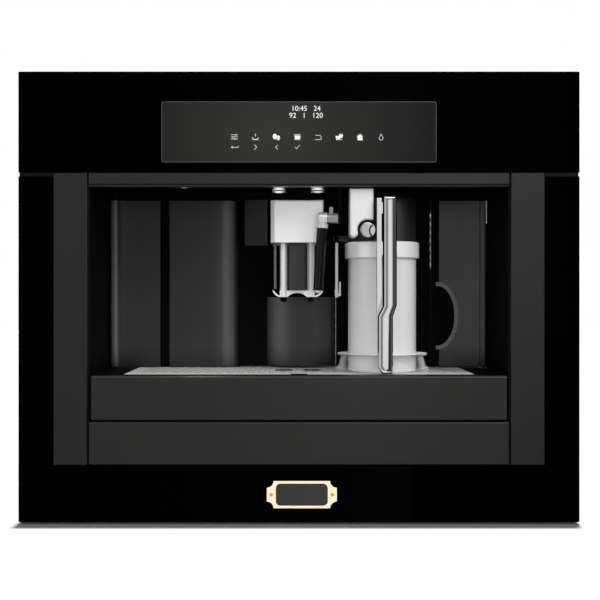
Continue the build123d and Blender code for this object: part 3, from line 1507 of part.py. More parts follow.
with BuildPart() as hopper_lid:
    hinged_lid(hopper_x, hopper_y, hopper_width + 4, hopper_length + 4, hinge_y, 66)
save(hopper_lid, "hopper_lid")

with BuildPart() as chute_lid:
    hinged_lid(chute_x, chute_y, chute_width + 4, chute_length + 4, chute_hinge_y, 25)
save(chute_lid, "chute_lid")

with BuildPart() as grind_dial:
    dial_height = 9.0
    with BuildSketch(Plane.XY.offset(cover_top + seat_gap)):
        with Locations((dial_x, dial_y)):
            Circle(dial_radius)
            with PolarLocations(dial_radius + 1, 10):
                Circle(3, mode=Mode.SUBTRACT)
    extrude(amount=dial_height)
    with Locations((dial_x, dial_y, housing_top - 2)):
        Cylinder(dial_stem_radius, 2 * (cover_top - housing_top + 3))
    with Locations((dial_x, dial_y, housing_top - 3.5)):
        Cylinder(7, 6)
    pointer_z = (cover_top + seat_gap + dial_height - 1, cover_top + dial_height + 2)
    block((dial_x - 1, dial_x + 1), (dial_y - dial_radius + 4, dial_y), pointer_z, mode=Mode.SUBTRACT)
save(grind_dial, "grind_dial")

# ---------------------------------------------------------------- electrics
post_radius = 3.0
post_inset = 6.0
board = 1.6
board_margin = 21.3  # from the pan's left wall to the power board
power_board_width = 150.0
coil_height = 36.4
capacitor_radius = 8.0
capacitor_height = 24.0
sink_height = 28.4
sink_inset = 25.0
sink_length = 100.0
sink_set_back = 50.0
sink_wall = 4.0
capacitor_pitch = 25.0
power_depth = 235.0
power_length = 140.0
chip_width = 30.0
chip_height = 6.0
with BuildPart() as circuit_boards:
    board_y = behind_plate_y + 2.5
    board_half_x = display_width / 2 + 4
    board_half_z = display_height / 2 + 1.5
    board_z = (display_z - board_half_z, display_z + board_half_z)
    block((-board_half_x, board_half_x), (board_y, board_y + board), board_z)
    with BuildSketch(front_plane(board_y)):
        with Locations((0, display_z)):
            with GridLocations(2 * board_half_x - 8, 2 * board_half_z - 6, 2, 2):
                Circle(post_radius)
    extrude(amount=board_y - behind_plate_y)
    panel_x = (-display_width / 2 + 26, display_width / 2 - 26)
    panel_z = (display_z - display_height / 2 + 10.5, display_z + display_height / 2 - 10.5)
    block(panel_x, (plate_y, board_y), panel_z)
    for x in (-100, 70):
        chip_y = (board_y + board, board_y + board + chip_height)
        block((x, x + chip_width), chip_y, (display_z - 12, display_z + 12))

    power_z = pan_floor + 7
    power_y = (at_depth(power_depth), at_depth(power_depth + power_length))
    power_left = board_margin - half_pan
    power_x = (power_left, power_left + power_board_width)
    block(power_x, power_y, (power_z, power_z + board))
    for x in (power_x[0] + post_inset, power_x[1] - post_inset):
        for y in (power_y[0] + post_inset, power_y[1] - post_inset):
            with Locations((x, y, (pan_floor + power_z) / 2)):
                Cylinder(post_radius, power_z - pan_floor)
    power_top = power_z + board
    coil_x = (power_left + 15, power_left + 65)
    block(coil_x, (power_y[0] + 20, power_y[0] + 60), (power_top, power_top + coil_height))
    for step in range(3):
        capacitor_x = coil_x[1] + 20 + capacitor_pitch * step
        with Locations((capacitor_x, power_y[0] + 40, power_top + capacitor_height / 2)):
            Cylinder(capacitor_radius, capacitor_height)
    sink_x = (power_left + sink_inset, power_left + sink_inset + sink_length)
    sink_y = power_y[1] - sink_set_back
    block(sink_x, (sink_y, sink_y + sink_wall), (power_top, power_top + sink_height))
save(circuit_boards, "circuit_boards")

switch_z = inlet_z + 12.0
switch_radius = 7.0
switch_y = back_y + inlet_proud - switch_radius - 0.2
switch_half = 5.5
with BuildPart() as mains_inlet:
    half_w = inlet_width / 2
    half_h = inlet_height / 2
    block(
        (inlet_x - half_w, inlet_x + half_w),
        (back_y - 24, back_y),
        (inlet_z - half_h, inlet_z + half_h),
    )
    block(
        (inlet_x - half_w - 4, inlet_x + half_w + 4),
        (back_y, back_y + inlet_proud),
        (inlet_z - half_h - 4, inlet_z + half_h + 4),
    )
    with BuildSketch(front_plane(back_y + inlet_proud)):
        with Locations((inlet_x, inlet_z - 10)):
            RectangleRounded(24, 17, 3)
            for x, z in ((-7, -2), (0, 2.5), (7, -2)):
                with Locations((x, z)):
                    Rectangle(2, 4, mode=Mode.SUBTRACT)
    extrude(amount=17, mode=Mode.SUBTRACT)
    socket_x = (inlet_x - switch_half - running_gap, inlet_x + switch_half + running_gap)
    with Locations(Location((inlet_x, switch_y, switch_z), (0, 90, 0))):
        Cylinder(switch_radius + running_gap, socket_x[1] - socket_x[0], mode=Mode.SUBTRACT)
    mouth_y = (switch_y, back_y + inlet_proud)
    mouth_z = (switch_z - switch_radius - running_gap, switch_z + switch_radius + running_gap)
    block(socket_x, mouth_y, mouth_z, mode=Mode.SUBTRACT)
    with Locations(Location((inlet_x, switch_y, switch_z), (0, 90, 0))):
        Cylinder(1 + pin_gap, 2 * switch_half + 5, mode=Mode.SUBTRACT)
save(mains_inlet, "mains_inlet")

with BuildPart() as main_switch:
    with Locations(Location((inlet_x, switch_y, switch_z), (0, 90, 0))):
        Cylinder(switch_radius, 2 * switch_half)
        Cylinder(1, 2 * switch_half + 4)
    with BuildSketch(Plane.YZ.offset(inlet_x - switch_half)):
        with Locations((switch_y + switch_radius + 1.2, switch_z)):
            Circle(3.2)
    extrude(amount=2 * switch_half, mode=Mode.SUBTRACT)
save(main_switch, "main_switch")
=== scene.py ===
"""Dresses the built-in coffee machine as it is photographed: square on, black glass front, lit niche.

The frame gives every piece its size and place. Metres throughout, +Z up, the glass front faces -Y.
"""

import json
from math import cos, pi, radians, sin

import bpy
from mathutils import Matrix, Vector


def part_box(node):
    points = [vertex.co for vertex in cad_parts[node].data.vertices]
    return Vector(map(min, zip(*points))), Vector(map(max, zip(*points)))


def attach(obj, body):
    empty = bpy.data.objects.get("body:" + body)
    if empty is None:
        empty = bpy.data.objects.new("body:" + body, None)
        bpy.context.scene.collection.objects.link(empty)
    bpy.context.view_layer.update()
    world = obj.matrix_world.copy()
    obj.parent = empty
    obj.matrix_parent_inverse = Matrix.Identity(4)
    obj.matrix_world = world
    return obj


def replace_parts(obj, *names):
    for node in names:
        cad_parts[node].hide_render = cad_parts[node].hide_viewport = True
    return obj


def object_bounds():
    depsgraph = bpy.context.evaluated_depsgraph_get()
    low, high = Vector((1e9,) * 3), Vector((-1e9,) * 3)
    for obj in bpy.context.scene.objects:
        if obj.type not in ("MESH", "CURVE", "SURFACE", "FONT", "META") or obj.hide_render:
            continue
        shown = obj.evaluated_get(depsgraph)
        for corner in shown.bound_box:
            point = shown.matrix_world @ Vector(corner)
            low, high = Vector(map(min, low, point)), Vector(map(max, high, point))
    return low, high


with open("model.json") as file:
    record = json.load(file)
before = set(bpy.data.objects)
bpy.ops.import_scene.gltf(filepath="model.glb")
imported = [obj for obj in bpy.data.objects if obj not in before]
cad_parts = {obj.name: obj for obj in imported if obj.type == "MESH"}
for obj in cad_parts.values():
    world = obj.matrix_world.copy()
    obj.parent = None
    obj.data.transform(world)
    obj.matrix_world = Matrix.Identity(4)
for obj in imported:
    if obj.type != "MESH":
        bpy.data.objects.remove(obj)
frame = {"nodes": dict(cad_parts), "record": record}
cad_low, cad_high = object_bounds()
bpy.ops.object.select_all(action="DESELECT")

MM = 0.001
body_of = {node: body for body, nodes in frame["record"]["behaviour"]["bodies"].items() for node in nodes}
slot_of = {part["node"]: part["material_slot"] for part in frame["record"]["subparts"]}

# ---------------------------------------------------------------- places read from the frame
glass_low, glass_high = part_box("control_glass")
display_low, display_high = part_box("display_window")
front_y = glass_low.y


# ---------------------------------------------------------------- colours and shader nodes
def srgb(code, alpha=1.0):
    """Linear RGBA of an sRGB colour written in hex."""
    channels = [int(code[i : i + 2], 16) / 255 for i in (1, 3, 5)]
    linear = [c / 12.92 if c <= 0.04045 else ((c + 0.055) / 1.055) ** 2.4 for c in channels]
    return (*linear, alpha)


def add(tree, kind, settings=None, links=None):
    """Adds one shader node with its settings and what feeds its sockets."""
    node = tree.nodes.new(kind)
    for name, value in (settings or {}).items():
        if isinstance(name, int) or name in node.inputs:
            node.inputs[name].default_value = value
        else:
            setattr(node, name, value)
    for name, source in (links or {}).items():
        tree.links.new(source, node.inputs[name])
    return node


def start_material(name):
    """An empty material with its place on the piece, in metres."""
    material = bpy.data.materials.new(name)
    material.use_nodes = True
    tree = material.node_tree
    tree.nodes.clear()
    place = add(tree, "ShaderNodeTexCoord").outputs["Object"]
    return material, tree, place


def end_material(tree, shader):
    """Puts the finished shader on the surface."""
    add(tree, "ShaderNodeOutputMaterial", links={"Surface": shader.outputs[0]})


# ---------------------------------------------------------------- materials
def tempered_glass():
    """Float glass, tempered and printed black behind: a deep black mirror with wipe marks a palm wide."""
    material, tree, place = start_material("tempered_black_glass")
    smears = add(tree, "ShaderNodeTexNoise", {"Scale": 1 / (71.4 * MM), "Detail": 3.0}, {"Vector": place})
    gloss = add(tree, "ShaderNodeMapRange", {"To Min": 0.03, "To Max": 0.07}, {"Value": smears.outputs[0]})
    shader = add(
        tree,
        "ShaderNodeBsdfPrincipled",
        {"Base Color": srgb("#000000"), "IOR": 1.5, "Specular IOR Level": 0.02},
        {"Roughness": gloss.outputs[0]},
    )
    end_material(tree, shader)
    return material


def smoked_acrylic():
    """Cast acrylic, smoked: the lamp behind it shows as a soft patch left of the middle."""
    material, tree, place = start_material("smoked_acrylic")
    width = display_high.x - display_low.x
    lamp_x = display_low.x + 0.4 * width
    lamp_z = (display_low.z + display_high.z) / 2
    spread = width / 1.15
    centred = add(
        tree,
        "ShaderNodeMapping",
        {"Location": (-lamp_x / spread, 0, -lamp_z / spread), "Scale": (1 / spread, 0, 1 / spread)},
        {"Vector": place},
    )
    patch = add(tree, "ShaderNodeTexGradient", {"gradient_type": "SPHERICAL"}, {"Vector": centred.outputs[0]})
    tint = add(
        tree,
        "ShaderNodeMix",
        {"data_type": "RGBA", "A": srgb("#020202"), "B": srgb("#2a2a29")},
        {"Factor": patch.outputs["Fac"]},
    )
    shader = add(
        tree,
        "ShaderNodeBsdfPrincipled",
        {"Roughness": 0.22, "IOR": 1.49, "Specular IOR Level": 0.05},
        {"Base Color": tint.outputs["Result"]},
    )
    end_material(tree, shader)
    return material


def brushed_metal(name, colour, roughness, along, metallic=1.0, relief=0.12):
    """Sheet metal ground with a belt: fine parallel scratches that stretch the highlight across them.

    The real scratches are about 0.1 mm apart and are drawn coarser, so that they show.
    """
    material, tree, place = start_material(name)
    scratch_pitch = 0.6 * MM
    scratch_length = 72 * MM
    stretch = [1 / scratch_pitch] * 3
    stretch[along] = 1 / scratch_length
    grain = add(tree, "ShaderNodeMapping", {"Scale": stretch}, {"Vector": place})
    lines = add(tree, "ShaderNodeTexNoise", {"Scale": 1.0, "Detail": 4.0}, {"Vector": grain.outputs[0]})
    rough = add(
        tree,
        "ShaderNodeMapRange",
        {"To Min": roughness - 0.06, "To Max": roughness + 0.06},
        {"Value": lines.outputs[0]},
    )
    light = [min(1.0, channel * 1.12) for channel in srgb(colour)[:3]]
    dark = [channel * 0.9 for channel in srgb(colour)[:3]]
    tint = add(
        tree,
        "ShaderNodeMix",
        {"data_type": "RGBA", "A": (*dark, 1), "B": (*light, 1)},
        {"Factor": lines.outputs[0]},
    )
    skin = add(
        tree, "ShaderNodeBump", {"Strength": relief, "Distance": 0.05 * MM}, {"Height": lines.outputs[0]}
    )
    shader = add(
        tree,
        "ShaderNodeBsdfPrincipled",
        {"Metallic": metallic},
        {"Base Color": tint.outputs["Result"], "Roughness": rough.outputs[0], "Normal": skin.outputs[0]},
    )
    end_material(tree, shader)
    return material


def fine_grained(name, colour, roughness, grit=0.8 * MM, relief=0.10, level=0.5):
    """Moulded, sprayed or enamelled: the mould or the spray leaves a fine grain that breaks up the sheen."""
    material, tree, place = start_material(name)
    pebbles = add(tree, "ShaderNodeTexNoise", {"Scale": 1 / grit, "Detail": 2.0}, {"Vector": place})
    clouds = add(tree, "ShaderNodeTexNoise", {"Scale": 1 / (60 * MM), "Detail": 2.0}, {"Vector": place})
    rough = add(
        tree,
        "ShaderNodeMapRange",
        {"To Min": roughness - 0.04, "To Max": roughness + 0.04},
        {"Value": clouds.outputs[0]},
    )
    skin = add(
        tree, "ShaderNodeBump", {"Strength": relief, "Distance": 0.05 * MM}, {"Height": pebbles.outputs[0]}
    )
    shader = add(
        tree,
        "ShaderNodeBsdfPrincipled",
        {"Base Color": srgb(colour), "IOR": 1.53, "Specular IOR Level": level},
        {"Roughness": rough.outputs[0], "Normal": skin.outputs[0]},
    )
    end_material(tree, shader)
    return material


def tones_across(tree, place, start, end, tones):
    """A ramp of (share of the way, linear tone) from one X to another."""
    across = add(tree, "ShaderNodeSeparateXYZ", links={"Vector": place}).outputs["X"]
    share = add(tree, "ShaderNodeMapRange", {"From Min": start, "From Max": end}, {"Value": across})
    ramp = add(tree, "ShaderNodeValToRGB", links={0: share.outputs[0]})
    stops = ramp.color_ramp.elements
    while len(stops) < len(tones):
        stops.new(0.5)
    for stop, (at, tone) in zip(stops, tones):
        stop.position = at
        stop.color = (tone, tone, tone, 1)
    return ramp


def rolled_plastic(name, low, high, tones):
    """Charcoal ABS, its tone given across it: painted sheen on its rolled edges, dark flats, and painted
    shade darkening it above the tray.
    """
    material, tree, place = start_material(name)
    ramp = tones_across(tree, place, low.x, high.x, tones)
    height = add(tree, "ShaderNodeSeparateXYZ", links={"Vector": place}).outputs["Z"]
    # Painted shade: the colour darkens over its lowest stretch, above the tray.
    foot_shade_height = 24 * MM
    foot = add(
        tree,
        "ShaderNodeMapRange",
        {"From Min": low.z, "From Max": low.z + foot_shade_height, "To Min": 0.25},
        {"Value": height},
    )
    foot_shaded = add(
        tree,
        "ShaderNodeMix",
        {"data_type": "RGBA", "blend_type": "MULTIPLY", "Factor": 1.0},
        {"A": ramp.outputs[0], "B": foot.outputs[0]},
    )
    grit = add(tree, "ShaderNodeTexNoise", {"Scale": 1 / (0.5 * MM), "Detail": 2.0}, {"Vector": place})
    skin = add(tree, "ShaderNodeBump", {"Strength": 0.05, "Distance": 0.05 * MM}, {"Height": grit.outputs[0]})
    shader = add(
        tree,
        "ShaderNodeBsdfPrincipled",
        {"Roughness": 0.34, "IOR": 1.53},
        {"Base Color": foot_shaded.outputs["Result"], "Normal": skin.outputs[0]},
    )
    end_material(tree, shader)
    return material


def satin_silver(name, colour, metallic, roughness):
    """Silver lacquer or satin plating: fine bright flakes under a clear skin, pale and softly mirrored."""
    material, tree, place = start_material(name)
    flakes = add(tree, "ShaderNodeTexVoronoi", {"Scale": 1 / (0.5 * MM)}, {"Vector": place})
    tint = add(
        tree,
        "ShaderNodeMix",
        {"data_type": "RGBA", "Factor": 0.05, "A": srgb(colour)},
        {"B": flakes.outputs["Color"]},
    )
    shader = add(
        tree,
        "ShaderNodeBsdfPrincipled",
        {"Metallic": metallic, "Roughness": roughness, "Coat Weight": 0.2, "Coat Roughness": 0.12},
        {"Base Color": tint.outputs["Result"]},
    )
    end_material(tree, shader)
    return material


def chrome_plate(name, colour="#d4d5d6", roughness=0.07):
    """Bright chromium over nickel: a cool mirror with the faint orange peel of the plating."""
    material, tree, place = start_material(name)
    peel = add(tree, "ShaderNodeTexNoise", {"Scale": 1 / (3 * MM), "Detail": 1.0}, {"Vector": place})
    skin = add(tree, "ShaderNodeBump", {"Strength": 0.03, "Distance": 0.05 * MM}, {"Height": peel.outputs[0]})
    shader = add(
        tree,
        "ShaderNodeBsdfPrincipled",
        {"Base Color": srgb(colour), "Metallic": 1.0, "Roughness": roughness},
        {"Normal": skin.outputs[0]},
    )
    end_material(tree, shader)
    return material


def galvanised_steel():
    """Hot-dip zinc on steel sheet: cool grey crystals a few millimetres across, dull where they meet."""
    material, tree, place = start_material("galvanised_steel")
    spangle = add(tree, "ShaderNodeTexVoronoi", {"Scale": 1 / (9 * MM), "Randomness": 1.0}, {"Vector": place})
    grey = add(tree, "ShaderNodeRGBToBW", links={"Color": spangle.outputs["Color"]})
    tint = add(
        tree,
        "ShaderNodeMix",
        {"data_type": "RGBA", "A": srgb("#8e9194"), "B": srgb("#a9acae")},
        {"Factor": grey.outputs[0]},
    )
    rough = add(tree, "ShaderNodeMapRange", {"To Min": 0.36, "To Max": 0.5}, {"Value": grey.outputs[0]})
    shader = add(
        tree,
        "ShaderNodeBsdfPrincipled",
        {"Metallic": 0.85},
        {"Base Color": tint.outputs["Result"], "Roughness": rough.outputs[0]},
    )
    end_material(tree, shader)
    return material


def clear_copolyester(name, colour, body_share, roughness):
    """Clear moulded copolyester that shows pale, because its wall scatters a share of the light."""
    material, tree, place = start_material(name)
    flow = add(tree, "ShaderNodeTexNoise", {"Scale": 1 / (40 * MM), "Detail": 2.0}, {"Vector": place})
    rough = add(
        tree,
        "ShaderNodeMapRange",
        {"To Min": roughness - 0.03, "To Max": roughness + 0.03},
        {"Value": flow.outputs[0]},
    )
    shader = add(
        tree,
        "ShaderNodeBsdfPrincipled",
        {"Base Color": srgb(colour), "IOR": 1.57, "Transmission Weight": 1 - body_share},
        {"Roughness": rough.outputs[0]},
    )
    end_material(tree, shader)
    return material


def clear_wall(name, body_share, edge_share, edge_start=0.3):
    """Thin clear copolyester: this share of it looks white when faced, and more towards its edges."""
    material, tree, place = start_material(name)
    flow = add(tree, "ShaderNodeTexNoise", {"Scale": 1 / (25 * MM), "Detail": 2.0}, {"Vector": place})
    rim = add(tree, "ShaderNodeLayerWeight", {"Blend": 0.35})
    share = add(
        tree,
        "ShaderNodeMapRange",
        {"From Min": edge_start, "To Min": body_share, "To Max": edge_share},
        {"Value": rim.outputs["Facing"]},
    )
    rough = add(tree, "ShaderNodeMapRange", {"To Min": 0.05, "To Max": 0.12}, {"Value": flow.outputs[0]})
    body = add(
        tree,
        "ShaderNodeBsdfPrincipled",
        {"Base Color": srgb("#e2e2e2"), "IOR": 1.57},
        {"Roughness": rough.outputs[0]},
    )
    through = add(tree, "ShaderNodeBsdfTransparent", {"Color": srgb("#fbfbfb")})
    wall = add(
        tree,
        "ShaderNodeMixShader",
        links={0: share.outputs[0], 1: through.outputs[0], 2: body.outputs[0]},
    )
    end_material(tree, wall)
    return material


def cast_aluminium():
    """Die-cast aluminium as it leaves the die: pale grey, with a sandy skin and darker flow marks."""
    material, tree, place = start_material("die_cast_aluminium")
    sand = add(tree, "ShaderNodeTexNoise", {"Scale": 1 / (1.2 * MM), "Detail": 3.0}, {"Vector": place})
    flow = add(tree, "ShaderNodeTexNoise", {"Scale": 1 / (30 * MM), "Detail": 3.0}, {"Vector": place})
    tint = add(
        tree,
        "ShaderNodeMix",
        {"data_type": "RGBA", "A": srgb("#98999b"), "B": srgb("#bdbec0")},
        {"Factor": flow.outputs[0]},
    )
    skin = add(tree, "ShaderNodeBump", {"Strength": 0.5, "Distance": 0.1 * MM}, {"Height": sand.outputs[0]})
    shader = add(
        tree,
        "ShaderNodeBsdfPrincipled",
        {"Metallic": 0.9, "Roughness": 0.5},
        {"Base Color": tint.outputs["Result"], "Normal": skin.outputs[0]},
    )
    end_material(tree, shader)
    return material


def lacquered_brass():
    """Rolled brass, brushed along its length and lacquered: pale gold with a clear skin."""
    material, tree, place = start_material("lacquered_brass")
    scratch_length, scratch_pitch = 60 * MM, 0.5 * MM
    stretch = (1 / scratch_length, 1 / scratch_pitch, 1 / scratch_pitch)
    grain = add(tree, "ShaderNodeMapping", {"Scale": stretch}, {"Vector": place})
    lines = add(tree, "ShaderNodeTexNoise", {"Scale": 1.0, "Detail": 3.0}, {"Vector": grain.outputs[0]})
    tint = add(
        tree,
        "ShaderNodeMix",
        {"data_type": "RGBA", "A": srgb("#f4e6b0"), "B": srgb("#fff6d2")},
        {"Factor": lines.outputs[0]},
    )
    shader = add(
        tree,
        "ShaderNodeBsdfPrincipled",
        {"Metallic": 0.3, "Roughness": 0.34, "Coat Weight": 0.3, "Coat Roughness": 0.1},
        {"Base Color": tint.outputs["Result"]},
    )
    end_material(tree, shader)
    return material


def solder_mask():
    """Glass-epoxy board under green solder mask: copper runs show as lighter lines between the fields."""
    material, tree, place = start_material("green_solder_mask")
    runs = add(
        tree,
        "ShaderNodeTexBrick",
        {
            "Scale": 1 / (14 * MM),
            "Mortar Size": 0.07,
            "Color1": srgb("#0f4a2c"),
            "Color2": srgb("#0d4327"),
            "Mortar": srgb("#2f7a4b"),
        },
        {"Vector": place},
    )
    shader = add(
        tree,
        "ShaderNodeBsdfPrincipled",
        {"Roughness": 0.32, "Coat Weight": 0.2},
        {"Base Color": runs.outputs["Color"]},
    )
    end_material(tree, shader)
    return material


def lit_lens():
    """Frosted polycarbonate with a painted glow: bright where it faces the front, grey at its sides."""
    material, tree, place = start_material("frosted_lamp_lens")
    frost = add(tree, "ShaderNodeTexNoise", {"Scale": 1 / (4 * MM)}, {"Vector": place})
    facing = add(tree, "ShaderNodeTexCoord").outputs["Normal"]
    facing_axes = add(tree, "ShaderNodeSeparateXYZ", links={"Vector": facing})
    painted_glow = add(
        # Painted glow, strongest on the faces that point to the front.
        tree,
        "ShaderNodeMapRange",
        {"From Min": -0.98, "From Max": -0.6, "To Min": 0.85, "To Max": 0.06},
        {"Value": facing_axes.outputs["Y"]},
    )
    tint = add(
        tree,
        "ShaderNodeMix",
        {"data_type": "RGBA", "A": srgb("#e8e8e4"), "B": srgb("#ffffff")},
        {"Factor": frost.outputs[0]},
    )
    shader = add(
        tree,
        "ShaderNodeBsdfPrincipled",
        {"Roughness": 0.3},
        {
            "Base Color": tint.outputs["Result"],
            "Emission Color": tint.outputs["Result"],
            "Emission Strength": painted_glow.outputs[0],
        },
    )
    end_material(tree, shader)
    return material


def display_light():
    """White segments of the lit display, seen through the smoked cover."""
    material, tree, place = start_material("display_light")
    cells = add(tree, "ShaderNodeTexNoise", {"Scale": 1 / (5 * MM)}, {"Vector": place})
    level = add(tree, "ShaderNodeMapRange", {"To Min": 0.92, "To Max": 1.05}, {"Value": cells.outputs[0]})
    shader = add(
        tree,
        "ShaderNodeBsdfPrincipled",
        {"Base Color": srgb("#3a3a3a"), "Emission Color": srgb("#f6f6f4"), "Roughness": 0.4},
        {"Emission Strength": level.outputs[0]},
    )
    end_material(tree, shader)
    return material


finishes = {
    "black_glass": tempered_glass(),
    "smoked_display": smoked_acrylic(),
    "dark_metal": brushed_metal("anodised_aluminium_graphite", "#232322", 0.36, 0, 0.3, 0.048),
    "black_paint": fine_grained("powder_coated_steel_black", "#060606", 0.55, 0.6 * MM, 0.2, 0.12),
    "zinc_steel": galvanised_steel(),
    "bright_steel": brushed_metal("ground_stainless_steel", "#c9c9c8", 0.27, 0),
    "chrome": chrome_plate("chromium_plated_steel"),
    "silver_paint": satin_silver("silver_lacquered_abs", "#e2e2e2", 0.35, 0.3),
    "black_plastic": fine_grained("moulded_abs_black", "#020202", 0.55, level=0.06),
    "charcoal_plastic": fine_grained("moulded_abs_charcoal", "#1d1d1c", 0.34, 0.5 * MM, 0.05),
    "clear_plastic": clear_copolyester("clear_copolyester", "#dfe1e1", 0.55, 0.16),
    "black_rubber": fine_grained("silicone_rubber_black", "#050505", 0.22, 1.0 * MM, 0.03, 0.35),
    "brass": lacquered_brass(),
    "enamel": fine_grained("vitreous_enamel_grey", "#2a2629", 0.2, 2 * MM, 0.03),
    "cast_aluminium": cast_aluminium(),
    "tool_steel": brushed_metal("hardened_tool_steel", "#8f9092", 0.33, 2),
    "grey_plastic": fine_grained("glass_filled_nylon_grey", "#67696b", 0.58, 0.7 * MM, 0.25),
    "board_green": solder_mask(),
    "float_red": fine_grained("polypropylene_red", "#b3241c", 0.42),
    "lamp_lens": lit_lens(),
}


# ---------------------------------------------------------------- ways of making
def only(piece):
    """Selects this one piece and makes it the active one."""
    bpy.ops.object.select_all(action="DESELECT")
    piece.select_set(True)
    bpy.context.view_layer.objects.active = piece


def apply_modifier(piece, kind, **settings):
    """Adds a modifier with its settings and applies it."""
    only(piece)
    modifier = piece.modifiers.new(kind.title(), kind)
    for name, value in settings.items():
        setattr(modifier, name, value)
    bpy.ops.object.modifier_apply(modifier=modifier.name)


def smooth_shading(piece, angle=32):
    """Smooth across faces that meet flatter than this many degrees, with flat faces kept flat."""
    only(piece)
    bpy.ops.object.shade_smooth_by_angle(angle=radians(angle))
    apply_modifier(piece, "WEIGHTED_NORMAL", keep_sharp=True)


def settle(piece, name, body):
    """Names a new piece that has its finishes, puts its place into its mesh and lets it ride on its body."""
    only(piece)
    bpy.ops.object.transform_apply(location=True, rotation=True, scale=True)
    piece.name = name
    piece.data.name = name
    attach(piece, body)
    return piece


def coat(piece, finish):
    """Gives a piece this one finish all over."""
    piece.data.materials.clear()
    piece.data.materials.append(finish)
    return piece


def dress(node, edge=0.0, angle=32, finish=None):
    """The frame's own piece with merged faces, softened edges and its real finish, in the frame's place."""
    piece = bpy.data.objects.new(node + "_finished", frame["nodes"][node].data.copy())
    bpy.context.collection.objects.link(piece)
    only(piece)
    bpy.ops.object.mode_set(mode="EDIT")
    bpy.ops.mesh.select_all(action="SELECT")
    bpy.ops.mesh.remove_doubles(threshold=0.01 * MM)
    bpy.ops.mesh.customdata_custom_splitnormals_clear()
    if edge:
        bpy.ops.mesh.dissolve_limited(angle_limit=radians(0.4))
    bpy.ops.object.mode_set(mode="OBJECT")
    if edge:
        apply_modifier(
            piece, "BEVEL", width=edge, segments=2, limit_method="ANGLE", angle_limit=radians(angle)
        )
    smooth_shading(piece, angle)
    coat(piece, finish or finishes[slot_of[node]])
    settle(piece, node + "_finished", body_of[node])
    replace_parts(piece, node)
    return piece


def pick(piece, wanted):
    """Goes into edit mode with only the faces selected whose middle and normal pass this test."""
    only(piece)
    bpy.ops.object.mode_set(mode="EDIT")
    bpy.ops.mesh.select_mode(type="FACE")
    bpy.ops.mesh.select_all(action="DESELECT")
    bpy.ops.object.mode_set(mode="OBJECT")
    for face in piece.data.polygons:
        face.select = wanted(face.center, face.normal)
    bpy.ops.object.mode_set(mode="EDIT")


def paint(piece, finish, wanted):
    """Gives the faces whose middle and normal pass this test another finish."""
    piece.data.materials.append(finish)
    for face in piece.data.polygons:
        if wanted(face.center, face.normal):
            face.material_index = len(piece.data.materials) - 1


def join(pieces):
    """Makes one piece of several, with the first one's finishes first."""
    only(pieces[0])
    for piece in pieces:
        piece.select_set(True)
    bpy.ops.object.join()
    return pieces[0]


# ---------------------------------------------------------------- the frame's pieces, finished
softened = {
    "control_glass": 0.35 * MM,
    "lower_glass": 0.35 * MM,
    "display_window": 0.2 * MM,
    "trim_strips": 0.3 * MM,
    "lower_front_panel": 0.3 * MM,
    "tray_front": 0.4 * MM,
    "top_bar": 0.3 * MM,
    "spout_head": 0.7 * MM,
    "tray_shelf": 0.4 * MM,
    "niche_lining": 0.5 * MM,
    "front_frame": 0.4 * MM,
}

# Tones from left to right, each with its share of the width. The rolled edges carry a painted sheen, flats
# stay dark.
door_low, door_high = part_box("service_door")
tank_low, tank_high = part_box("tank_front")
cover_low, cover_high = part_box("centre_cover")
door_tones = (
    (0.0, 0.03), (0.015, 0.07), (0.055, 0.08), (0.06, 0.026), (0.2, 0.018), (0.45, 0.014),
    (0.8, 0.018), (0.86, 0.026), (0.92, 0.065), (0.96, 0.05), (0.98, 0.01), (1.0, 0.004),
)
tank_tones = (
    (0.0, 0.004), (0.12, 0.004), (0.14, 0.026), (0.5, 0.034),
    (0.85, 0.06), (0.88, 0.15), (0.95, 0.16), (1.0, 0.02),
)
cover_tones = (
    (0.0, 0.003), (0.22, 0.007), (0.32, 0.061), (0.38, 0.059), (0.49, 0.035),
    (0.58, 0.02), (0.67, 0.016), (0.93, 0.06), (1.0, 0.012),
)
own_finish = {
    "service_door": rolled_plastic("moulded_abs_charcoal_door", door_low, door_high, door_tones),
    "tank_front": rolled_plastic("moulded_abs_charcoal_tank", tank_low, tank_high, tank_tones),
    "centre_cover": rolled_plastic("moulded_abs_charcoal_cover", cover_low, cover_high, cover_tones),
    "tray_float": finishes["black_plastic"],
    "door_hinge_pins": fine_grained("black_oxide_steel", "#060606", 0.5, relief=0.02, level=0.1),
    "trim_strips": brushed_metal("anodised_aluminium_graphite_upright", "#212120", 0.36, 2, 0.3, 0.048),
    "spout_tubes": satin_silver("satin_chromium_tubes", "#f0f0f0", 0.5, 0.2),
    "wand_collar": satin_silver("satin_chromium_collar", "#d8d8d8", 0.6, 0.2),
    "jug_front_block": satin_silver("silver_lacquer_block", "#cfcfcf", 0.35, 0.3),
    "jug_handle": satin_silver("polished_silver_lacquer", "#ececec", 1.0, 0.1),
    "cup_grille": brushed_metal("brushed_stainless_grille", "#d6d6d4", 0.5, 0, metallic=0.45),
    "milk_outlet": satin_silver("satin_steel_tube", "#d8d8d8", 0.6, 0.2),
    "jug_body": clear_wall("clear_copolyester_jug", 0.5, 0.58),
    "jug_lid": fine_grained("moulded_abs_lid", "#161616", 0.4, relief=0.04),
}
redrawn = ("cup_lights",)
finished = {}
for node in sorted(body_of):
    if node not in redrawn:
        finished[node] = dress(node, edge=softened.get(node, 0.0), finish=own_finish.get(node))

# A face this far behind the foremost one counts as set back.
set_back = 0.4 * MM
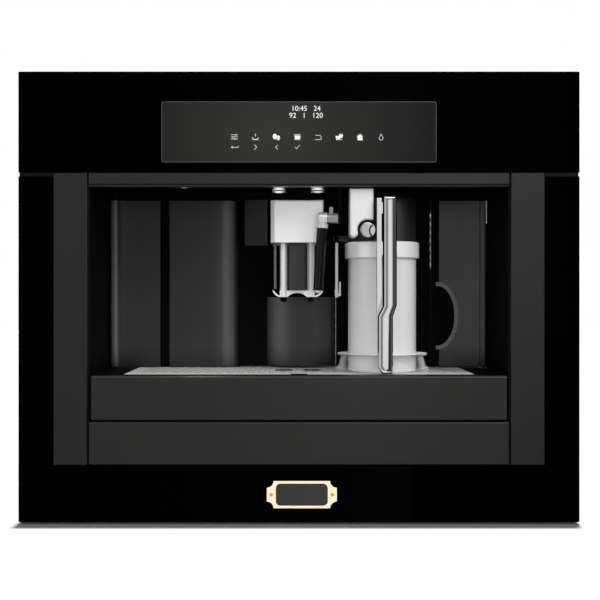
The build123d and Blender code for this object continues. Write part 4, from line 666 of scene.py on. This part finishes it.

# The jug's wide foot is clear and its base pale; the step over the base is painted white, a painted highlight
# where light gathers in the thick clear plastic.
jug_low, jug_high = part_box("jug_body")
jug_axis = Vector(((jug_low.x + jug_high.x) / 2, (jug_low.y + jug_high.y) / 2))
jug_wall_radius = 38.3 * MM
jug_base_top = jug_low.z + 17 * MM
jug_step_limit = jug_low.z + 0.3 * (jug_high.z - jug_low.z)
paint(
    finished["jug_body"],
    clear_wall("clear_copolyester_foot", 0.03, 0.8, 0.35),
    lambda middle, normal: (middle.xy - jug_axis).length > jug_wall_radius,
)
paint(
    finished["jug_body"],
    clear_wall("clear_copolyester_base", 0.72, 0.72),
    lambda middle, normal: middle.z < jug_base_top and (middle.xy - jug_axis).length < jug_wall_radius,
)
# Painted highlight: the upward faces of the step are painted white.
paint(
    finished["jug_body"],
    fine_grained("painted_highlight_jug_step", "#fafafa", 0.3, relief=0.02),
    lambda middle, normal: normal.z > 0.8 and middle.z < jug_step_limit,
)

# Its handle is polished in front and silver behind; the sides of its front bar are painted black as painted
# shade.
handle_bar_depth = 9 * MM
handle_polish_depth = 12 * MM
handle_silver_top = jug_high.z + 20 * MM
handle_shade_bottom = jug_low.z + 70 * MM
paint(
    finished["jug_handle"],
    finishes["silver_paint"],
    lambda middle, normal: middle.y > front_y + handle_polish_depth and middle.z < handle_silver_top,
)
# Painted shade: black on the sides of the front bar.
paint(
    finished["jug_handle"],
    finishes["black_plastic"],
    lambda middle, normal: abs(normal.x) > 0.78
    and middle.y < front_y + handle_bar_depth
    and middle.z > handle_shade_bottom,
)

# Shade fills the groove of the door, the grip of the tank and the line under the top bar.
door_groove = (door_low.x + 55.4 * MM, door_low.x + 66.6 * MM)
paint(
    finished["service_door"],
    finishes["black_plastic"],
    lambda middle, normal: door_groove[0] < middle.x < door_groove[1] and middle.y > door_low.y + set_back,
)
grip_depth = 3 * MM
grip_end = tank_high.x - 33 * MM
shaded_strip_end = tank_low.x + 8.4 * MM
paint(
    finished["tank_front"],
    fine_grained("moulded_abs_grey_rim", "#565253", 0.5, relief=0.04),
    lambda middle, normal: middle.y < tank_low.y + set_back,
)
paint(
    finished["tank_front"],
    finishes["black_plastic"],
    lambda middle, normal: (middle.x < shaded_strip_end and middle.y >= tank_low.y + set_back)
    or (middle.y > tank_low.y + grip_depth and middle.x < grip_end and normal.y < 0.5),
)
bar_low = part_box("top_bar")[0]
bar_shade = (bar_low.z + 1.65 * MM, bar_low.z + 2.6 * MM)
bar_face_depth = 1 * MM
paint(
    finished["top_bar"],
    finishes["black_plastic"],
    lambda middle, normal: bar_shade[0] < middle.z < bar_shade[1] and middle.y < bar_low.y + bar_face_depth,
)

# The outlet's guide is dark grey, and the faces left of it are painted paler as a painted highlight; its
# nozzles stay black.
head_low, head_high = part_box("spout_head")
spout_middle = (head_low.x + head_high.x) / 2
nozzle_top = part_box("spout_column")[0].z + 6 * MM
core_half = 10 * MM
paint(
    finished["spout_column"],
    fine_grained("moulded_abs_dark_grey", "#2c2c2c", 0.6, relief=0.04, level=0.2),
    lambda middle, normal: middle.z > nozzle_top and abs(middle.x - spout_middle) < core_half,
)
# Painted highlight: the faces left of the guide are painted mid grey.
paint(
    finished["spout_column"],
    fine_grained("painted_highlight_grey", "#4c4c4c", 0.6, relief=0.04, level=0.2),
    lambda middle, normal: middle.z > nozzle_top and middle.x < spout_middle - core_half,
)

# The grille's front edge and slot walls lie in shade.
paint(finished["cup_grille"], finishes["black_plastic"], lambda middle, normal: normal.y < -0.5)

# So does the floor of the knob's scoop, but for its rim and the round swell in it.
knob_low, knob_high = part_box("froth_knob")
knob_middle = (knob_low + knob_high) / 2
scoop = (knob_low.y + 2 * MM, knob_low.y + 3 * MM)
scoop_rim = 1.7 * MM
scoop_end = knob_middle.x + 4.5 * MM
swell_middle = knob_middle + Vector((9 * MM, 0, -1 * MM))
swell_radius = 6.6 * MM
pick(finished["froth_knob"], lambda middle, normal: scoop[0] < middle.y < scoop[1] and normal.y < -0.9)
bpy.ops.mesh.inset(thickness=scoop_rim)
bpy.ops.object.mode_set(mode="OBJECT")
paint(
    finished["froth_knob"],
    finishes["black_plastic"],
    lambda middle, normal: scoop[0] < middle.y < scoop[1]
    and normal.y < -0.9
    and (middle - swell_middle).xz.length > swell_radius
    and middle.x < scoop_end,
)

# The milk tube's top lies in the shade of the lid.
shaded_tube = 9 * MM
outlet_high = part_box("milk_outlet")[1]
paint(
    finished["milk_outlet"],
    finishes["black_plastic"],
    lambda middle, normal: middle.z > outlet_high.z - shaded_tube,
)

# Only the wand's elbow and its small lever are metal; the hanger above them is black.
hanger_width = 5.1 * MM
bracket_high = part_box("wand_bracket")[1]
finished["wand_bracket"].data.materials[0] = finishes["black_plastic"]
paint(
    finished["wand_bracket"],
    satin_silver("satin_nickel_elbow", "#909090", 0.5, 0.28),
    lambda middle, normal: middle.x < bracket_high.x - hanger_width,
)

# The badge's two screws are darker than its plate.
screw_rise = 0.35 * MM
badge_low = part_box("badge_plate")[0]
paint(
    finished["badge_plate"],
    satin_silver("aged_brass_screw", "#b3a37a", 0.3, 0.4),
    lambda middle, normal: middle.y < badge_low.y + screw_rise,
)

# ---------------------------------------------------------------- cup lights
light_low, light_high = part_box("cup_lights")
ceiling = light_high.z
big_lamp = 7.6 * MM
small_lamp = 6.5 * MM
lamp_rim = 0.8 * MM
middle_lamp_x = -22.4 * MM
light_places = (
    (middle_lamp_x, light_high.y - big_lamp, big_lamp),
    (light_high.x - big_lamp, light_high.y - big_lamp, big_lamp),
    (light_low.x + small_lamp, light_low.y + small_lamp, small_lamp),
)


def cup_light(x, y, radius):
    """One lamp in the ceiling: a frosted half ball with a painted glow, a dark joint, and a plated ring round
    its lens.
    """
    rim_z = ceiling - radius - lamp_rim
    lens = radius - 2.4 * MM
    gap = radius - 1.6 * MM
    bpy.ops.mesh.primitive_uv_sphere_add(
        segments=56, ring_count=30, radius=radius, location=(x, y, ceiling - radius)
    )
    lamp = bpy.context.active_object
    only(lamp)
    bpy.ops.object.transform_apply(location=True, rotation=True, scale=True)
    pick(lamp, lambda middle, normal: middle.z < ceiling - radius)
    bpy.ops.mesh.delete(type="FACE")
    bpy.ops.mesh.select_mode(type="EDGE")
    bpy.ops.mesh.select_all(action="DESELECT")
    bpy.ops.mesh.select_non_manifold()
    ring, height = radius, ceiling - radius
    for next_ring, next_height in (
        (radius, rim_z + 0.2 * MM),
        (radius - 0.2 * MM, rim_z),
        (gap + 0.4 * MM, rim_z),
        (gap + 0.2 * MM, rim_z + 0.3 * MM),
        (gap, rim_z + 1.4 * MM),
        (lens, rim_z + 1.4 * MM),
        (lens, rim_z + 0.5 * MM),
        (lens * 0.6, rim_z + 0.15 * MM),
        (0.02 * MM, rim_z + 0.05 * MM),
    ):
        grow = next_ring / ring
        bpy.ops.mesh.extrude_edges_indiv()
        bpy.ops.transform.resize(value=(grow, grow, 1), center_override=(x, y, ceiling))
        bpy.ops.transform.translate(value=(0, 0, next_height - height))
        ring, height = next_ring, next_height
    bpy.ops.mesh.merge(type="CENTER")
    bpy.ops.mesh.select_all(action="SELECT")
    bpy.ops.mesh.normals_make_consistent(inside=False)
    bpy.ops.object.mode_set(mode="OBJECT")
    smooth_shading(lamp, 40)

    centre = Vector((x, y))
    joint_top = ceiling - radius + 1.3 * MM
    coat(lamp, finishes["chrome"])
    paint(
        lamp,
        finishes["black_plastic"],
        lambda middle, normal: ceiling - radius < middle.z < joint_top
        or (lens < (middle.xy - centre).length < gap + 0.35 * MM and middle.z < ceiling - radius),
    )
    # The half ball, the lens and the ring's outer edge take the lens finish with its painted glow.
    paint(
        lamp,
        finishes["lamp_lens"],
        lambda middle, normal: middle.z > joint_top
        or ((middle.xy - centre).length < lens and middle.z < ceiling - radius)
        or ((middle.xy - centre).length > radius - 0.1 * MM and middle.z < ceiling - radius),
    )
    return lamp


lamps = join([cup_light(*place) for place in light_places])
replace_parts(settle(lamps, "cup_lights_finished", "machine"), "cup_lights")

# ---------------------------------------------------------------- display
display_face = display_low.y - 0.05 * MM
display_middle = (display_low + display_high) / 2
stroke = 0.42 * MM


def arc(x, z, radius, start, end, squeeze=1.0, steps=10):
    """Points of a round stretch, in millimetres, from one angle to another in degrees."""
    turns = [radians(start + (end - start) * i / steps) for i in range(steps + 1)]
    return [(x + radius * cos(t), z + radius * squeeze * sin(t)) for t in turns]


def drop_outline():
    """A water drop: round below, drawn up to a point."""
    return arc(0, -1.1, 2.3, -220, 40) + [(0, 3.6)]


def marks(lines=(), filled=()):
    """A pictogram's open strokes and filled shapes."""
    return [(points, False) for points in lines] + [(points, True) for points in filled]


# Points in millimetres from each pictogram's middle.
cup_side = [(-2.6, 1.2), (-2.0, -1.8), (2.0, -1.8), (2.6, 1.2)]
saucer = [(-3.4, -2.9), (3.4, -2.9)]
pictograms = {
    "sliders": marks(
        [[(-3.6, 2.2), (3.6, 2.2)], [(-3.6, 0), (3.6, 0)], [(-3.6, -2.2), (3.6, -2.2)]]
        + [[(1.6, 1.4), (1.6, 3.0)], [(-1.6, -0.8), (-1.6, 0.8)], [(0.6, -3.0), (0.6, -1.4)]]
    ),
    "steaming_cup": marks(
        [arc(0, 0, 3.4, 180, 360, 0.8), saucer, [(0, 0.6), (0.6, 1.6), (0, 2.6), (0.6, 3.6)]],
    ),
    "beans": marks([], [arc(-1.6, 0.6, 1.7, 0, 342, 1.5, 19), arc(2.0, -0.8, 1.5, 0, 342, 1.4, 19)]),
    "small_cup": marks([saucer, [(-3.4, 2.6), (3.4, 2.6)], arc(2.4, -0.2, 1.2, -90, 90)], [cup_side]),
    "cup": marks([saucer, [(-2.9, 1.6), (2.9, 1.6)], arc(2.4, -0.4, 1.1, -90, 90)]),
    "two_cups": marks(
        [saucer, [(-0.2, 2.9), (3.8, 2.9)]],
        [
            [(-3.4, 0.8), (-2.9, -1.9), (0.6, -1.9), (1.0, 0.8)],
            [(0.2, 2.0), (1.4, -0.4), (3.0, -0.4), (3.6, 2.0)],
        ],
    ),
    "pot": marks(
        [arc(0, 2.2, 1.0, 0, 180), arc(-2.2, 0.2, 1.3, 90, 270)],
        [[(-1.7, 1.8), (-2.4, -3.0), (2.4, -3.0), (1.7, 1.8)]],
    ),
    "drop": marks([drop_outline() + [drop_outline()[0]]]),
    "back": marks([[(3.6, 1.2), (3.6, 0), (-3.6, 0)], [(-1.8, 1.5), (-3.6, 0), (-1.8, -1.5)]]),
    "next": marks([[(-1.2, 2.4), (1.2, 0), (-1.2, -2.4)]]),
    "previous": marks([[(1.2, 2.4), (-1.2, 0), (1.2, -2.4)]]),
    "tick": marks([[(-2.6, 0), (-0.8, -2.0), (2.8, 2.4)]]),
}


def draw(name, x, z):
    """One pictogram as flat strokes just proud of the display's cover."""
    curve = bpy.data.curves.new(name, "CURVE")
    curve.dimensions = "2D"
    curve.fill_mode = "BOTH"
    curve.bevel_depth = stroke
    curve.bevel_resolution = 1
    for points, closed in pictograms[name]:
        spline = curve.splines.new("POLY")
        spline.points.add(len(points) - 1)
        for point, (across, up) in zip(spline.points, points):
            point.co = (across * MM, up * MM, 0, 1)
        spline.use_cyclic_u = closed
    piece = bpy.data.objects.new(name, curve)
    bpy.context.collection.objects.link(piece)
    only(piece)
    bpy.ops.object.convert(target="MESH")
    piece.scale = (1, 1, 0.1)
    piece.rotation_euler = (pi / 2, 0, 0)
    piece.location = (x, display_face, z)
    bpy.ops.object.transform_apply(location=True, rotation=True, scale=True)
    return piece


def digits(characters, z):
    """A line of digits on the display."""
    digit_height = 5.4 * MM
    height_in_type_size = 0.7
    bpy.ops.object.text_add(location=(readout_x, display_face, z), rotation=(pi / 2, 0, 0))
    piece = bpy.context.active_object
    piece.data.body = characters
    piece.data.size = digit_height / height_in_type_size
    piece.data.align_x = "CENTER"
    piece.data.align_y = "CENTER"
    piece.data.extrude = 0.02 * MM
    only(piece)
    bpy.ops.object.convert(target="MESH")
    bpy.ops.object.transform_apply(location=True, rotation=True, scale=True)
    return piece


key_pitch = 22.2 * MM
first_key_x = display_middle.x - 68.4 * MM
upper_row = ("sliders", "steaming_cup", "beans", "small_cup", "cup", "two_cups", "pot", "drop")
lower_row = ("back", "next", "previous", "tick")
key_rows = ((display_middle.z - 5.4 * MM, upper_row), (display_middle.z - 16.1 * MM, lower_row))
readout_x = display_middle.x + 7.4 * MM
symbols = []
for row_z, names in key_rows:
    symbols += [draw(name, first_key_x + i * key_pitch, row_z) for i, name in enumerate(names)]
symbols += [
    digits("10:45   24", display_middle.z + 24.7 * MM),
    digits("92   1   120", display_middle.z + 17.3 * MM),
]
settle(coat(join(symbols), display_light()), "display_symbols", "machine")


def display_rim():
    """The printed rim of the display: a hair line just inside its edge, round at the corners."""
    margin = 0.4 * MM
    bpy.ops.mesh.primitive_plane_add(
        size=1, location=(display_middle.x, display_face, display_middle.z), rotation=(pi / 2, 0, 0)
    )
    rim = bpy.context.active_object
    rim.scale = (display_high.x - display_low.x - 2 * margin, display_high.z - display_low.z - 2 * margin, 1)
    only(rim)
    bpy.ops.object.transform_apply(location=True, rotation=True, scale=True)
    bpy.ops.object.mode_set(mode="EDIT")
    bpy.ops.mesh.select_all(action="SELECT")
    bpy.ops.mesh.bevel(offset=2.2 * MM, segments=5, affect="VERTICES")
    bpy.ops.mesh.select_all(action="SELECT")
    bpy.ops.mesh.inset(thickness=0.55 * MM)
    bpy.ops.mesh.delete(type="FACE")
    bpy.ops.object.mode_set(mode="OBJECT")
    apply_modifier(rim, "SOLIDIFY", thickness=0.04 * MM, offset=0)
    return coat(rim, fine_grained("screen_print_grey", "#3c3c3b", 0.5))


settle(display_rim(), "display_rim", "machine")

# ---------------------------------------------------------------- bright edge beside the centre cover
strip_width = 1.2 * MM
strip_depth = 2 * MM
strip_height = 100 * MM
strip_gap = 0.3 * MM
bpy.ops.mesh.primitive_cube_add(
    size=1,
    location=(
        cover_high.x + strip_gap + strip_width / 2,
        cover_high.y - strip_depth / 2,
        cover_low.z + strip_height / 2,
    ),
    scale=(strip_width, strip_depth, strip_height),
)
edge_strip = bpy.context.active_object
only(edge_strip)
bpy.ops.object.transform_apply(location=True, rotation=True, scale=True)
apply_modifier(edge_strip, "BEVEL", width=0.45 * MM, segments=3)
smooth_shading(edge_strip)
settle(coat(edge_strip, finishes["bright_steel"]), "cover_edge_strip", "machine")

# ---------------------------------------------------------------- raised rings where the cups stand, dark as painted shade
grille_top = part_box("cup_grille")[1].z
cup_places = (-17 * MM, 14.5 * MM)
cup_marks = []
for mark_x in cup_places:
    bpy.ops.mesh.primitive_torus_add(
        major_radius=9 * MM,
        minor_radius=0.9 * MM,
        major_segments=64,
        minor_segments=8,
        location=(mark_x, front_y + 72 * MM, grille_top),
    )
    mark = bpy.context.active_object
    smooth_shading(mark, 60)
    cup_marks.append(mark)
# Painted shade: the raised rings are dark for the shade under their edge.
ring_painted_shade = fine_grained("dark_ring_painted_shade", "#242424", 0.5, 1.0 * MM, 0.03, 0.2)
settle(coat(join(cup_marks), ring_painted_shade), "cup_marks", "drip_tray")

# ---------------------------------------------------------------- studio
eye_distance = 1050 * MM
eye_height = 241 * MM
photo_width = 600
front_width_in_photo = 561.6
shift_in_photo = (0.0017, -0.005)
sensor = 36.0


def white_sweep():
    """Studio paper under its own lamp, which burns it out to white up to the narrow shadow in front."""
    material, tree, place = start_material("white_studio_sweep")
    fibres = add(tree, "ShaderNodeTexNoise", {"Scale": 1 / (16.7 * MM)}, {"Vector": place})
    rough = add(tree, "ShaderNodeMapRange", {"To Min": 0.85, "To Max": 0.95}, {"Value": fibres.outputs[0]})
    paper = add(tree, "ShaderNodeBsdfDiffuse", {"Color": srgb("#a8a8a8")}, {"Roughness": rough.outputs[0]})
    end_material(tree, paper)
    return material


def studio_card(name, size, place, turn, tones):
    """A card that only metal and glass mirror; its brightness changes across it, given as (share, tone)."""
    bpy.ops.mesh.primitive_plane_add(size=size, location=place, rotation=(pi / 2, 0, radians(turn)))
    card = bpy.context.active_object
    card.name = name
    material, tree, spot = start_material(name + "_paint")
    ramp = tones_across(tree, spot, -size / 2, size / 2, tones)
    end_material(tree, add(tree, "ShaderNodeEmission", links={"Color": ramp.outputs[0]}))
    card.data.materials.append(material)
    card.visible_camera = False
    card.visible_diffuse = False
    card.visible_shadow = False
    card.visible_transmission = False


bpy.ops.mesh.primitive_plane_add(size=12, location=(0, 0, cad_low.z - 0.05 * MM))
floor = bpy.context.active_object
floor.name = "studio_floor"
floor.data.materials.append(white_sweep())
floor.visible_glossy = False
floor.visible_diffuse = False

# Seen only in metal and glass: the card behind the camera gives the mirrored picture its middle, the flags
# its sides and its foot.
card_size = 2.4
side_card_x = 1.25
side_card_y = front_y - 1.05
side_card_turn = 96
studio_card(
    "studio_card",
    card_size,
    (0, front_y - eye_distance - 0.15, eye_height),
    0,
    (
        (0.0, 0.45), (0.29, 0.12), (0.5, 0.34), (0.55, 0.5),
        (0.585, 0.95), (0.62, 0.45), (0.72, 0.34), (0.8, 0.06),
    ),
)
studio_card(
    "black_flag",
    card_size,
    (side_card_x, side_card_y, eye_height),
    -side_card_turn,
    ((0.0, 0.3), (0.2, 0.1), (0.4, 0.03), (1.0, 0.02)),
)
studio_card(
    "grey_flag",
    card_size,
    (-side_card_x, side_card_y, eye_height),
    side_card_turn,
    ((0.0, 0.5), (0.5, 0.55), (1.0, 0.6)),
)
studio_card("low_flag", 1.3, (0.9, front_y - 1.1, -0.5), 0, ((0.0, 0.0254), (0.5, 0.02), (1.0, 0.02)))

world = bpy.data.worlds.new("white_studio")
bpy.context.scene.world = world
world.use_nodes = True
sky = world.node_tree
sky.nodes.clear()
ray = add(sky, "ShaderNodeLightPath")
faced = add(
    sky,
    "ShaderNodeMath",
    {"operation": "MAXIMUM"},
    {0: ray.outputs["Is Camera Ray"], 1: ray.outputs["Is Glossy Ray"]},
)
seen = add(
    sky,
    "ShaderNodeMath",
    {"operation": "MAXIMUM"},
    {0: faced.outputs[0], 1: ray.outputs["Is Transmission Ray"]},
)
level = add(sky, "ShaderNodeMapRange", {"To Min": 0.45, "To Max": 1.0}, {"Value": seen.outputs[0]})
dome = add(sky, "ShaderNodeBackground", {"Color": srgb("#ffffff")}, {"Strength": level.outputs[0]})
add(sky, "ShaderNodeOutputWorld", links={"Surface": dome.outputs[0]})

# The softboxes light all but the paper, and the top light lights the paper alone.
all_but_paper = bpy.data.collections.new("lit_by_the_softboxes")
all_but_paper.objects.link(floor)
all_but_paper.collection_objects[0].light_linking.link_state = "EXCLUDE"
paper_alone = bpy.data.collections.new("lit_by_the_top_light")
paper_alone.objects.link(floor)


def softbox(name, place, size, watts, mirrored=True):
    """A soft area lamp that faces the middle of the front; an unmirrored one shows in no metal or glass."""
    bpy.ops.object.light_add(type="AREA", location=place)
    lamp = bpy.context.active_object
    lamp.name = name
    lamp.data.shape = "RECTANGLE"
    lamp.data.size, lamp.data.size_y = size
    lamp.data.energy = watts
    lamp.rotation_euler = (Vector((0, front_y, 0.24)) - Vector(place)).to_track_quat("-Z", "Y").to_euler()
    lamp.visible_glossy = mirrored
    lamp.light_linking.receiver_collection = all_but_paper


softbox("front_softbox", (0.3, -1.7, 0.3), (1.4, 0.8), 12, mirrored=False)
softbox("overhead_softbox", (0.3, -1.3, 1.7), (1.6, 0.9), 12)
softbox("left_strip", (-1.12, -1.0, 0.5), (0.16, 1.3), 7, mirrored=False)
softbox("right_strip", (1.05, -0.95, 1.1), (0.3, 0.8), 14)
bpy.ops.object.light_add(type="SUN", rotation=(radians(-2.25), radians(0.4), 0))
top_light = bpy.context.active_object
top_light.name = "top_light"
top_light.data.energy = 10.0
top_light.data.angle = radians(1.4)
top_light.light_linking.receiver_collection = paper_alone
beam_clearance = 1.5 * MM
for x, y, radius in light_places:
    bpy.ops.object.light_add(type="SPOT", location=(x, y, ceiling - radius - lamp_rim - beam_clearance))
    beam = bpy.context.active_object
    beam.data.energy = 0.3
    beam.data.spot_size = radians(125)
    beam.data.spot_blend = 0.9
    beam.data.shadow_soft_size = 5 * MM
    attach(beam, "machine")

camera_data = bpy.data.cameras.new("front_camera")
camera = bpy.data.objects.new("front_camera", camera_data)
bpy.context.collection.objects.link(camera)
camera.location = (0, front_y - eye_distance, eye_height)
camera.rotation_euler = (pi / 2, 0, 0)
view_width = (glass_high.x - glass_low.x) * photo_width / front_width_in_photo
camera_data.sensor_width = sensor
camera_data.lens = sensor * eye_distance / view_width
camera_data.shift_x, camera_data.shift_y = shift_in_photo
bpy.context.scene.camera = camera
bpy.context.scene.view_settings.view_transform = "Standard"
